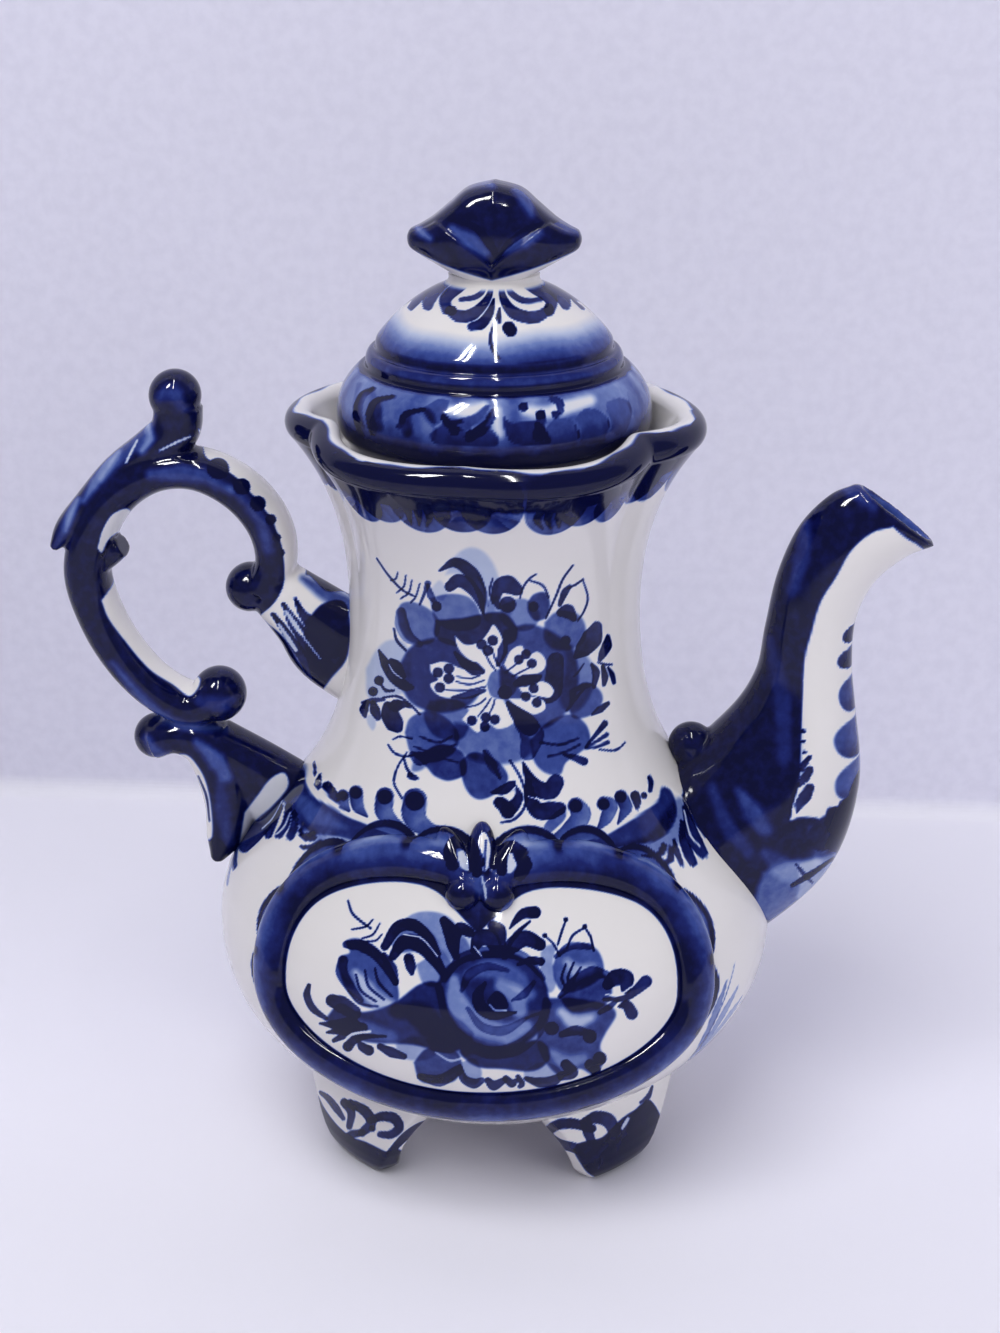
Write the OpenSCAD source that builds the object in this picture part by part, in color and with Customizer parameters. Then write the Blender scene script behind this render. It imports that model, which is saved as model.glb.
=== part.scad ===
// Gzhel porcelain teapot: a slip-cast pot with a six-lobed rim, four feet, two raised
// cartouche frames, a scroll handle and a swan-neck spout, with a lift-off domed lid.
// The origin is on the table under the pot's axis; the spout points along +X.

/* [Pot] */
// Height of the neck from its waist up to the rim
neck_h = 46.4; // [42:0.2:54]
// Radius of the rim at the middle of a lobe
rim_r = 48; // [46:0.2:52]
// How far a notch between two lobes stands in from the lobes
notch_in = 5; // [3:0.2:6]
// How much higher the rim stands at a notch than at a lobe
notch_lift = 1.6; // [0:0.1:2]
// How much lower the rim stands at the front and back than at the sides
front_dip = 2.4; // [0:0.1:3]
// Turn of the rim's lobes about the axis, in degrees
rim_turn = -5; // [-10:1:10]
// Radius of the rolled lip's section
lip_r = 3.6; // [2.6:0.1:3.8]
// Radius of the neck at its waist
waist_r = 34; // [33:0.2:38]
// Height of the neck's waist above the table
waist_z = 134; // [126:1:140]
// Largest radius of the belly
belly_r = 67; // [62:0.5:72]
// Height of the belly's widest level
belly_z = 55; // [50:1:60]
// Height of the pot's underside above the table
base_z = 13; // [11:0.5:17]
// Thickness of the pot's wall
wall = 3.6; // [3:0.1:4.4]

/* [Lid] */
// How far the rim reaches out past the lid's widest level
rim_out = 12.4; // [11.4:0.1:14]
// Depth below the rim of the seat that the lid rests on
seat_in = 10.4; // [9.6:0.1:11.6]
// Height of the dome above its widest level
dome_h = 29; // [25:0.5:33]
// Clearance under the lid where it rests on its seat
lid_rest_gap = 0.2; // [0.1:0.05:0.4]
// Clearance between the lid's collar and the throat
collar_gap = 1.2; // [0.6:0.1:1.6]
// Depth that the collar reaches into the throat
collar_h = 10; // [7:0.5:13]
// Diameter of the steam hole at the back of the lid
steam_d = 3.4; // [2.5:0.1:5]
// Thickness of the lid's wall
lid_wall = 3; // [2.4:0.1:3.4]
// Width of the knob from tip to tip
knob_w = 38.4; // [32:0.2:44]
// Height of the knob
knob_h = 22; // [19:0.5:25]
// Depth of the knob from front to back
knob_d = 23; // [21:0.5:25]

/* [Spout] */
// How far the lip's tip reaches from the axis
spout_reach = 101; // [95:0.5:107]
// Height of the lip's top corner
spout_z = 164; // [156:0.5:170]
// Width of the spout at its root, across the pot
spout_w = 38; // [32:0.5:42]
// Thickness of the spout's wall
spout_wall = 2.6; // [2.2:0.1:3]
// Diameter of each strainer hole behind the spout
strainer_d = 4.6; // [3.5:0.1:5.5]

/* [Handle] */
// How far the handle reaches from the axis
handle_reach = 103.5; // [98:0.5:109]
// Height of the ball on top of the handle
handle_z = 182; // [176:0.5:188]
// Width of the handle's bar across the pot
handle_w = 15; // [12:0.5:18]
// Thickness of the handle's bar at its top
bar_t = 9.6; // [8:0.1:11]

/* [Frames and feet] */
// Half the width of a cartouche frame, measured to the middle of its roll
frame_w = 48.5; // [46:0.5:50]
// Height of the middle of the frame's lower roll
frame_low_z = 35.5; // [33:0.5:38]
// Height of the middle of the frame's upper arches
frame_high_z = 90; // [86:0.5:91]
// Depth of the cusp between the two arches
cusp_in = 8.5; // [6:0.5:10]
// Width of the frame's roll
roll_w = 10; // [8:0.2:11]
// Height of the roll above the belly
roll_h = 3.2; // [2.4:0.1:4]
// Radius of the ring that the four feet's outer faces lie on
foot_r = 48; // [46:0.5:49]
// Radius of the feet's soles at their outer edge
sole_r = 43; // [41:0.5:44]
// Half the width of the arch between two feet
arch_w = 21.2; // [19:0.2:23]
// Height of the arch between two feet
arch_h = 21; // [18:0.5:23]

/* [Hidden] */
porcelain = [0.93, 0.93, 0.92];
cobalt = [0.09, 0.13, 0.42];

lobes = 6;
around = 72;          // points round the pot
fine = 96;            // $fn of the true round surfaces
foot_in_r = 27;       // radius of the feet's inner faces
bite = 1.2;           // how deep a luted-on piece sinks into the wall
rim_z = waist_z + neck_h;
seat_z = rim_z - seat_in;
lid_r = rim_r - rim_out;
base_r = 34;          // radius of the flat underside
throat_in = 6.4;      // width of the ledge that carries the lid
pocket_gap = 1.8;     // room round the lid's edge in its pocket
pocket_r = lid_r + pocket_gap;
throat_r = pocket_r - throat_in;
ledge_t = 7;          // thickness of the ledge under the lid
lid_edge_h = 9.4;     // height of the lid's edge below its widest level
lid_low_z = seat_z + lid_rest_gap;
lid_wide_z = lid_low_z + lid_edge_h;
stem_r = 10.6;
stem_h = 2.6;
stem_share = 0.8;     // the stem is this much narrower from front to back
stem_flare = 0.6;     // how much the stem widens down to the dome
dome_top_r = stem_r + stem_flare;
dome_top_z = lid_wide_z + dome_h;
knob_low_z = dome_top_z + 0.4;

// ---- curves ----
function mix(a, b, t) = a + (b - a) * t;
function clamp01(t) = min(1, max(0, t));
function ease(t) = let (c = clamp01(t)) c * c * (3 - 2 * c);
function bezier(p, t) =
    let (s = 1 - t)
    p[0] * s * s * s + p[1] * 3 * s * s * t + p[2] * 3 * s * t * t + p[3] * t * t * t;
function bezier_path(p, steps, first = 0) = [for (i = [first : steps]) bezier(p, i / steps)];
// A smooth curve through every point of a list, with the given steps from one to the next
function through(p, steps) = let (last = len(p) - 1) [
    for (i = [0 : last - 1], k = [0 : steps - 1]) let (
        t = k / steps,
        a = p[max(0, i - 1)],
        b = p[i],
        c = p[i + 1],
        d = p[min(last, i + 2)])
        0.5 * (2 * b + (c - a) * t + (2 * a - 5 * b + 4 * c - d) * t * t
            + (3 * b - a - 3 * c + d) * t * t * t),
    p[last]];
function unit(v) = v / norm(v);

// A closed solid through rings of equal length
module skin(rings) {
    n = len(rings[0]);
    m = len(rings);
    sides = [for (i = [0 : m - 2], j = [0 : n - 1]) let (
        a = i * n + j,
        b = i * n + (j + 1) % n,
        c = a + n,
        d = b + n)
        each [[a, c, d], [a, d, b]]];
    ends = [[for (j = [0 : n - 1]) j], [for (j = [n - 1 : -1 : 0]) (m - 1) * n + j]];
    polyhedron(points = [for (ring = rings) each ring], faces = concat(ends, sides));
}

// ---- the pot's outline: points of [radius, height] from the underside to the lip ----
lip_c = [rim_r - lip_r, rim_z - lip_r];
lower_curve = [[base_r, base_z], [mix(base_r, belly_r, 0.6), mix(base_z, belly_z, 0.28)],
               [belly_r, mix(base_z, belly_z, 0.55)], [belly_r, belly_z]];
upper_curve = [[belly_r, belly_z], [belly_r, mix(belly_z, waist_z, 0.36)],
               [waist_r, mix(belly_z, waist_z, 0.34)], [waist_r, waist_z]];
neck_curve = [[waist_r, waist_z], [waist_r, mix(waist_z, lip_c.y, 0.45)],
              [mix(waist_r, lip_c.x, 0.5), mix(waist_z, lip_c.y, 0.72)],
              lip_c + lip_r * [cos(-50), sin(-50)]];
outline = concat(bezier_path(lower_curve, 9), bezier_path(upper_curve, 11, 1),
                 bezier_path(neck_curve, 8, 1));
// The belly's radius at a height
function belly_at(z) = lookup(z, [for (p = outline) [p.y, p.x]]);

// How much of the lobes shows at a height: none on the belly, all at the rim
lobe_from_z = mix(belly_z, waist_z, 0.75);
function lobe_share(z) = pow(clamp01((z - lobe_from_z) / (rim_z - lobe_from_z)), 1.6);
// 1 at the middle of a lobe and 0 at a notch
notch_round = 0.004;
function lobe_wave(a) = sqrt(pow(cos(lobes / 2 * (a - rim_turn)), 2) + notch_round);
// The notches at the front and back are softer than the four at the sides
function notch_share(a) = mix(1, 0.4, pow(sin(a - rim_turn), 6));
function pot_ring(p) = let (share = lobe_share(p.y)) [
    for (j = [0 : around - 1]) let (
        a = rim_turn + j * 360 / around,
        dip = share * (1 - lobe_wave(a)) * notch_share(a),
        r = p.x - notch_in * dip)
        [r * cos(a), r * sin(a), p.y + share * (notch_lift * dip - front_dip * pow(sin(a), 2))]];

lip_roll = [for (a = [-25 : 25 : 150]) lip_c + lip_r * [cos(a), sin(a)]];
pocket_d = 3;         // depth of the pocket from the flare's foot down to the seat
flare_floor_z = seat_z + pocket_d;
flare = [[mix(pocket_r, lip_c.x - lip_r, 0.55), mix(flare_floor_z, lip_c.y, 0.5)],
         [pocket_r + 0.8, flare_floor_z]];

// The cavity's outline: the pot's outline moved in by the wall, up to the ledge
function inward(p, i) = let (
    d = unit(p[min(i + 1, len(p) - 1)] - p[max(i - 1, 0)]))
    p[i] + wall * [-d.y, d.x];
cavity_top_z = seat_z - ledge_t;
cavity_side = [for (i = [1 : len(outline) - 1])
    let (q = inward(outline, i))
    if (q.y > base_z + wall + 0.4 && q.y < cavity_top_z) q];
floor_in = 3;         // how far the cavity's floor stands in from the wall's foot
ledge_slope = 1.5;    // how much the ledge's underside rises towards the throat

module pot_round(inset) {
    rotate_extrude($fn = fine)
        polygon(concat([[0, base_z + inset]],
            [for (i = [0 : len(outline) - 1])
                if (outline[i].y < waist_z + 1)
                    [max(0, outline[i].x - inset), max(base_z + inset, outline[i].y)]],
            [[waist_r - inset, rim_z], [0, rim_z]]));
}

module cavity() {
    rotate_extrude($fn = fine)
        polygon(concat([[0, base_z + wall], [cavity_side[0].x - floor_in, base_z + wall]], cavity_side,
            [[throat_r, cavity_top_z + ledge_slope], [throat_r, seat_z], [pocket_r, seat_z],
             [pocket_r, flare_floor_z + 1], [0, flare_floor_z + 1]]));
}

// ---- spout ----
// Stations of [x, z, half the section's height, half its width], from the root to the lip.
// They are drawn for the places below, and stretched to the pot, the reach and the height.
spout_drawn_low = [67, 75];
spout_drawn_tip = [100.1, 164];
spout_low = [belly_r, mix(belly_z, waist_z, 0.253)];
function spout_point(x, z) = [
    mix(spout_low.x, spout_reach, (x - spout_drawn_low.x) / (spout_drawn_tip.x - spout_drawn_low.x)),
    mix(spout_low.y, spout_z, (z - spout_drawn_low.y) / (spout_drawn_tip.y - spout_drawn_low.y))];
spout_stations = [[44, 66, 24, 19], [54, 72.5, 24, 19], [66, 85, 23, 17], [72, 99, 18.4, 13.6],
                  [73.2, 113, 13, 10.8], [73.2, 125, 11.1, 9.4], [74.5, 137, 10.7, 8.6], [78.4, 147, 11, 8], [84.8, 153.8, 11.5, 7],
                  [90.6, 156.6, 11.7, 6]];
spout_full = spout_w / 2 / spout_stations[0][3];
// Direction of each section's long axis, in degrees from +X towards +Z
spout_tilt = [-60, -60, -50, -36, -23, -22, -30, -36, -37, -37];
spout_path = through([for (i = [0 : len(spout_stations) - 1]) let (
    s = spout_stations[i],
    p = spout_point(s[0], s[1]))
    [p.x, p.y, s[2] * spout_full, s[3] * spout_full, spout_tilt[i]]], 2);
spout_sides = 28;
function spout_ring(s, less) = [for (j = [0 : spout_sides - 1]) let (
    a = 360 * j / spout_sides,
    u = (s[2] - less) * cos(a),
    v = (s[3] - less) * sin(a))
    [s[0] + u * cos(s[4]), v, s[1] + u * sin(s[4])]];
curl = spout_point(47.4, 98.6);
curl_r = 5.5;         // radius of the curl at the top of the spout's root

// ---- cartouche frames ----
frame_mid_z = mix(frame_low_z, frame_high_z, 0.44);
frame_square = 0.86;  // below 1, the ring is squarer than an ellipse
arch_over = 1.5;      // rise of the ring over the arches, which the cusp takes back
cusp_r = 7;           // how far the cusp's pull reaches to each side
cusp_pinch = 0.45;    // share of its width that the roll loses at the cusp
function frame_xz(a) = let (
    x = frame_w * cos(a),
    s = sin(a),
    rise = s > 0 ? frame_high_z - frame_mid_z + arch_over : frame_mid_z - frame_low_z)
    [x, frame_mid_z + rise * sign(s) * pow(abs(s), frame_square)
        - (s > 0 ? cusp_in * exp(-abs(x) / cusp_r) : 0)];
function on_belly(p) = [p.x, -sqrt(pow(belly_at(p.y), 2) - p.x * p.x), p.y];
frame_rings = 66;
frame_gap = 3.8;      // half the angle that the roll leaves open at the cusp, where the bulbs sit
function frame_ring(i) = let (
    a = mix(90 + frame_gap, 450 - frame_gap, i / (frame_rings - 1)),
    c = on_belly(frame_xz(a)),
    t = unit(on_belly(frame_xz(a + 2)) - on_belly(frame_xz(a - 2))),
    slope = (belly_at(c.z + 1) - belly_at(c.z - 1)) / 2,
    out = unit([c.x, c.y, -slope * norm([c.x, c.y])]),
    side = unit(cross(t, out)),
    pinch = c.z > frame_mid_z ? cusp_pinch * exp(-pow(c.x / cusp_r, 2)) : 0,
    w = roll_w / 2 * (1 - pinch))
    concat([c - w * side - bite * out],
        [for (b = [180 : -30 : 0]) c + w * cos(b) * side + roll_h * sin(b) * out],
        [c + w * side - bite * out]);

plume_low_z = frame_high_z - cusp_in + 3;
petal_r = 3.4;
petal_l = 17;
petal_step = 2.6;     // from one petal's foot to the next
petal_aim = [8.6, 13];     // how far out and up a petal points, seen from the front
petal_droop = 3;      // how much less the outer petals point up
petal_out = 0.42;     // share of a petal's length from its foot to its middle
bulb_r = 4;           // radius of the two bulbs that hang at the cusp
bulb_at = [3.8, -0.6];     // place of a bulb from the foot of the plume
module petal(side) {
    low = on_belly([side * petal_step, plume_low_z]);
    d = unit(on_belly([side * petal_aim.x, plume_low_z + petal_aim.y - petal_droop * abs(side)]) - low);
    translate(low + d * petal_l * petal_out)
        rotate([0, acos(d.z), atan2(d.y, d.x)])
            scale([1, 1, petal_l / petal_r / 2])
                sphere(petal_r, $fn = 32);
}

module frame() {
    skin([for (i = [0 : frame_rings - 1]) frame_ring(i)]);
    for (side = [-1, 0, 1]) petal(side);
    for (side = [-1, 1])
        translate(on_belly([side * bulb_at.x, plume_low_z + bulb_at.y])) sphere(bulb_r, $fn = 32);
}

// ---- feet: the corners left of a flared ring by an arch cut through each way ----
ring_top_z = base_z + 10;
foot_side = bezier_path([[sole_r, 0], [foot_r - 0.5, 0], [foot_r, ring_top_z * 0.3], [foot_r, ring_top_z]], 8);
arch_points = 20;
arch_square = 0.83;   // below 1, the arch is squarer than an ellipse
function arch_xz(i) = let (a = 180 * i / arch_points)
    [arch_w * sign(cos(a)) * pow(abs(cos(a)), arch_square), arch_h * sin(a)];

module arch() {
    rotate([90, 0, 0])
        linear_extrude(3 * foot_r, center = true)
            polygon(concat([for (i = [0 : arch_points]) arch_xz(i)], [[-arch_w, -1], [arch_w, -1]]));
}

toe_mid = sole_r * 0.665;
toe_r = 6;            // radius of the flat under a toe
toe_side = bezier_path([[toe_r, 0], [toe_r + 7.5, 0.2], [toe_r + 7, ring_top_z * 0.5],
                        [toe_r + 16, ring_top_z]], 6);

module foot(sx, sy) {
    color(porcelain)
        difference() {
            intersection() {
                rotate_extrude($fn = fine)
                    polygon(concat([[foot_in_r, ring_top_z], [foot_in_r, 0]], foot_side));
                translate([sx * toe_mid, sy * toe_mid, 0])
                    rotate_extrude($fn = fine) polygon(concat([[0, ring_top_z], [0, 0]], toe_side));
            }
            arch();
            rotate([0, 0, 90]) arch();
            pot_round(bite);
        }
}

// ---- the pieces ----
module body() {
    color(porcelain)
        difference() {
            skin([for (p = concat(outline, lip_roll, flare)) pot_ring(p)]);
            cavity();
            strainer();
        }
}

drill_l = 24;
strainer_z = spout_low.y - 1;
strainer_ring_r = 8;  // radius of the ring of six holes round the middle one
module strainer_hole(y, z) {
    translate([belly_at(strainer_z), y, strainer_z + z])
        rotate([0, 90, 0])
            cylinder(d = strainer_d, h = drill_l, center = true, $fn = 24);
}
module strainer() {
    strainer_hole(0, 0);
    for (a = [60 : 60 : 360]) strainer_hole(strainer_ring_r * cos(a), strainer_ring_r * sin(a));
}

module spout() {
    last = len(spout_path) - 1;
    color(cobalt) {
        difference() {
            union() {
                skin(concat([for (s = spout_path) spout_ring(s, 0)],
                            [for (i = [last : -1 : 1]) spout_ring(spout_path[i], spout_wall)]));
                translate([curl.x, 0, curl.y]) sphere(curl_r, $fn = 32);
            }
            pot_round(bite);
        }
    }
}

// ---- handle ----
// Stations of [x, z, half the bar's thickness], drawn for the places and the thickness below,
// and stretched to the pot, the reach, the height and the thickness of the bar
grip_drawn_low = [-34, 120];
grip_drawn_tip = [-104.5, 182];
grip_drawn_t = 9.6;
grip_low = [-waist_r, mix(belly_z, waist_z, 0.823)];
function grip(p) = [
    mix(grip_low.x, -handle_reach, (p.x - grip_drawn_low.x) / (grip_drawn_tip.x - grip_drawn_low.x)),
    mix(grip_low.y, handle_z, (p.y - grip_drawn_low.y) / (grip_drawn_tip.y - grip_drawn_low.y)),
    p[2] * bar_t / grip_drawn_t];
scroll = [[-54.5, 136, 4.4], [-51.2, 143.5, 4.8], [-53, 152.5, 4.9], [-59.5, 160.3, 4.8],
          [-69, 164.8, 4.6], [-79, 164.2, 4.7], [-88, 158.6, 4.9], [-94.2, 149.5, 5.2],
          [-96.8, 139.5, 5.2], [-94.3, 128.5, 5], [-89.2, 118.6, 4.9], [-82.4, 110.8, 4.7],
          [-74.5, 106.4, 4.6], [-68, 107.6, 4.8]];
crest = [[-72.6, 180, 5.4], [-74, 173.6, 5.6], [-80, 169, 4.8], [-88.2, 163.4, 4],
         [-95.4, 156, 3.4], [-100.6, 150.4, 2.8], [-103.4, 146.2, 1.4]];
upper_bracket = [[-52.5, 137, 6.6], [-44.5, 129.8, 9], [-38.4, 124, 11.6], [-30, 119, 12.6]];
lower_bracket = [[-83, 97.2, 4.6], [-77, 98.8, 4.6], [-70.6, 96.6, 5.8], [-66, 89.5, 7],
                 [-64.6, 80.5, 6.6], [-66.6, 72, 4.6], [-68.2, 67.4, 2]];
shoulder_web = [[-69, 96.5, 6], [-60, 89, 8.4], [-48, 80, 10]];
leaf_bud = [[-97, 141, 4], [-92.2, 143.4, 3.4], [-87.8, 145.8, 2.4]];
handle_balls = [[-73.4, 182, 6], [-57.8, 136.2, 5.8], [-66.6, 108.9, 6.6], [-82.6, 97.6, 5.4]];
ball_wide = 1.15;     // the balls are this much wider across the pot
bar_sides = 16;
bar_square = 0.8;     // below 1, the bar's section is squarer than an ellipse

function bar_ring(path, i, w) = let (
    d = unit(path[min(i + 1, len(path) - 1)] - path[max(i - 1, 0)]),
    n = unit([-d.y, d.x]))
    [for (j = [0 : bar_sides - 1]) let (
        a = 360 * j / bar_sides,
        u = path[i][2] * sign(cos(a)) * pow(abs(cos(a)), bar_square),
        v = w * sign(sin(a)) * pow(abs(sin(a)), bar_square))
        [path[i].x + u * n.x, -v, path[i].y + u * n.y]];

module bar(stations, steps, w) {
    path = through([for (p = stations) grip(p)], steps);
    skin([for (i = [0 : len(path) - 1]) bar_ring(path, i, w)]);
}

module lump(p) {
    q = grip(p);
    translate([q.x, 0, q.y]) scale([1, ball_wide, 1]) sphere(q[2], $fn = 32);
}

module handle() {
    half_w = handle_w / 2;
    color(cobalt)
        difference() {
            union() {
                bar(scroll, 2, half_w);
                bar(crest, 2, half_w * 0.8);
                bar(upper_bracket, 2, half_w);
                bar(lower_bracket, 2, half_w);
                bar(shoulder_web, 2, half_w * 0.9);
                bar(leaf_bud, 2, half_w * 0.6);
                for (p = handle_balls) lump(p);
            }
            pot_round(bite);
        }
}

// ---- lid ----
step_r = lid_r * 0.835;    // radius of the step between the dome and the bulge
step_z = mix(lid_wide_z, dome_top_z, 0.4);
dome_curve = [[dome_top_r, dome_top_z], [mix(dome_top_r, step_r, 0.4), dome_top_z - 3],
              [mix(dome_top_r, step_r, 0.8), mix(step_z, dome_top_z, 0.45)], [step_r, step_z]];
bulge_curve = [[step_r + 0.5, step_z - 0.6], [mix(step_r, lid_r, 0.75), mix(lid_wide_z, step_z, 0.66)],
               [lid_r, mix(lid_wide_z, step_z, 0.36)], [lid_r, lid_wide_z]];
step_i = 11;          // the dome's last point above the step
dome = concat(bezier_path(dome_curve, step_i), bezier_path(bulge_curve, 6));
edge = bezier_path([[lid_r, lid_wide_z], [lid_r, lid_wide_z - 4.6], [lid_r - 2.8, lid_low_z + 5],
                    [lid_r - 3, lid_low_z]], 7, 1);
lid_side = concat(dome, edge);
function lid_inward(i) = let (
    d = unit(lid_side[min(i + 1, len(lid_side) - 1)] - lid_side[max(i - 1, 0)]))
    lid_side[i] + lid_wall * [d.y, -d.x];
collar_r = throat_r - collar_gap;
collar_t = 2.6;
collar_bevel = 0.8;
flange_t = 3.4;       // thickness of the flat rim under the lid
grooves = [9, 11];    // points of the dome that the two turned grooves follow
groove_r = 0.9;
groove_out = groove_r * 0.45;
steam_y = lid_r * 0.62;

module lid() {
    color(porcelain) {
        translate([0, 0, dome_top_z - 1])
            scale([1, stem_share, 1])
                cylinder(h = stem_h + 1, r1 = dome_top_r, r2 = stem_r, $fn = fine);
        difference() {
            rotate_extrude($fn = fine)
                polygon(concat([[0, dome_top_z]], lid_side,
                    [[collar_r - collar_t, lid_low_z], [collar_r - collar_t, lid_low_z + flange_t]],
                    [for (i = [len(dome) : -1 : 2]) if (i != step_i && i != step_i + 1) lid_inward(i)],
                    [[0, dome_top_z - lid_wall - 1]]));
            for (k = grooves)
                rotate_extrude($fn = fine)
                    translate(dome[k] + [groove_out, groove_out]) circle(groove_r, $fn = 20);
            translate([0, steam_y, dome_top_z - drill_l / 3])
                cylinder(d = steam_d, h = drill_l, center = true, $fn = 24);
        }
    }
}

module lid_collar() {
    color(porcelain)
        translate([0, 0, seat_z - collar_h])
            rotate_extrude($fn = fine)
                polygon([[collar_r - collar_t, collar_bevel], [collar_r - collar_t + collar_bevel, 0],
                         [collar_r - collar_bevel, 0], [collar_r, collar_bevel],
                         [collar_r, collar_h + lid_rest_gap],
                         [collar_r - collar_t, collar_h + lid_rest_gap]]);
}

// ---- knob: a bud between two leaves that fold up to a tip on each side ----
// Stations along the knob of [share of its half width, share of its height: low, high, share of its depth]
knob_stations = [[-1, 0.4, 0.46, 0.1], [-0.96, 0.34, 0.52, 0.28], [-0.86, 0.29, 0.56, 0.46],
                 [-0.7, 0.22, 0.645, 0.68], [-0.5, 0.13, 0.79, 0.88], [-0.3, 0.05, 0.93, 0.98], [0, 0, 1, 1]];
knob_half = through(knob_stations, 2);
knob_path = concat(knob_half, [for (i = [len(knob_half) - 2 : -1 : 0])
    [-knob_half[i][0], knob_half[i][1], knob_half[i][2], knob_half[i][3]]]);
knob_steps = 6;       // steps from the fold down, and from the fold up
fold_step = 1.8;      // how far the bud stands in behind the leaves
fold_low = 0.2;       // share of the knob's height where the fold starts, at the middle
fold_rise = 0.62;     // share of the height that it climbs towards the tips
fold_turn = 0.8;      // largest sine of the fold's place on a section
leaf_square = 0.45;   // below 1, the leaves' and the bud's sections are squarer than an ellipse
bud_square = 0.6;
// The front of a section, from its bottom up past the fold to its top
function knob_front(s) = let (
    mid = knob_low_z + knob_h * (s[1] + s[2]) / 2,
    half = knob_h * (s[2] - s[1]) / 2,
    fold_z = knob_low_z + knob_h * (fold_low + fold_rise * pow(abs(s[0]), 0.8)),
    fold = asin(min(fold_turn, max(-fold_turn, (fold_z - mid) / half))))
    [for (upper = [0, 1], k = [0 : knob_steps]) let (
        a = upper == 0 ? mix(-90, fold, k / knob_steps) : mix(fold + 5, 90, k / knob_steps),
        tuck = upper * fold_step * (1 - pow(s[0], 2)),
        y = (knob_d / 2 * s[3] - tuck) * pow(max(0, cos(a)), upper == 0 ? leaf_square : bud_square))
        [s[0] * knob_w / 2, -y, mid + half * sin(a)]];
function knob_ring(s) = let (front = knob_front(s))
    concat(front, [for (i = [len(front) - 2 : -1 : 1]) [front[i].x, -front[i].y, front[i].z]]);

module lid_knob() {
    color(cobalt) skin([for (s = knob_path) knob_ring(s)]);
}

body();
foot(-1, -1);  // foot_front_left
foot(1, -1);  // foot_front_right
foot(-1, 1);  // foot_back_left
foot(1, 1);  // foot_back_right
frame();  // frame_front
rotate([0, 0, 180]) frame();  // frame_back
spout();
handle();
lid();
lid_collar();
lid_knob();
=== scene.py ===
import math

import bmesh
import bpy
import numpy as np
from mathutils import Matrix, Vector


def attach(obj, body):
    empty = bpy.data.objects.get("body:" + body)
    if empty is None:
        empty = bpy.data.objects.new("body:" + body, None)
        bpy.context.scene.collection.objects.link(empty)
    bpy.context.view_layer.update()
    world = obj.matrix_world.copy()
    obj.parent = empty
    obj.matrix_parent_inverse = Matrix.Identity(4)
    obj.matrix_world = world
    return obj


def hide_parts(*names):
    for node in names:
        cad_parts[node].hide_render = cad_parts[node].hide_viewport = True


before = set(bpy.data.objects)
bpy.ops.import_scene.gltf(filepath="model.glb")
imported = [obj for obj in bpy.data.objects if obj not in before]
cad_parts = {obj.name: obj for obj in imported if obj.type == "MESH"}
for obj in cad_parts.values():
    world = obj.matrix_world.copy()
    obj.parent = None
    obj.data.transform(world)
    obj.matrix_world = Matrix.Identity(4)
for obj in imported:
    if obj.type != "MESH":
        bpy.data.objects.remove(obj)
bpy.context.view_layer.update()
mm = 0.001


# curves, in millimetres
def bezier(points, steps):
    t = np.linspace(0, 1, steps + 1)[:, None]
    a, b, c, d = (np.array(p, float) for p in points)
    return a * (1 - t) ** 3 + 3 * b * t * (1 - t) ** 2 + 3 * c * (1 - t) * t ** 2 + d * t ** 3


def through(points, steps):   # a smooth curve through every point
    p = np.array(points, float)
    q = np.vstack([2 * p[0] - p[1], p, 2 * p[-1] - p[-2]])
    t = (np.arange(steps) / steps)[:, None]
    runs = [0.5 * (2 * b + (c - a) * t + (2 * a - 5 * b + 4 * c - d) * t ** 2
                   + (3 * b - a - 3 * c + d) * t ** 3)
            for a, b, c, d in zip(q, q[1:], q[2:], q[3:])]
    return np.vstack(runs + [p[-1:]])


def mix(a, b, t):
    return a + (b - a) * t


def ease(x):
    x = np.clip(x, 0, 1)
    return x * x * (3 - 2 * x)


def unit(v):
    return v / np.linalg.norm(v, axis=-1, keepdims=True)


def arcLengths(path):
    return np.concatenate([[0], np.cumsum(np.linalg.norm(np.diff(path, axis=0), axis=1))])


# objects and meshes
def addObject(name, data):
    thing = bpy.data.objects.new(name, data)
    bpy.context.scene.collection.objects.link(thing)
    return thing


def addPiece(name, bm):       # an object of the finished form, which is freed
    mesh = bpy.data.meshes.new(name)
    bm.to_mesh(mesh)
    bm.free()
    return addObject(name, mesh)


def readPoints(piece, what):
    flat = np.empty(len(piece.data.vertices) * 3, np.float32)
    piece.data.vertices.foreach_get(what, flat)
    return flat.reshape(-1, 3).astype(float)


def spotsOf(piece):           # a piece's points in millimetres
    return readPoints(piece, "co") / mm


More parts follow.
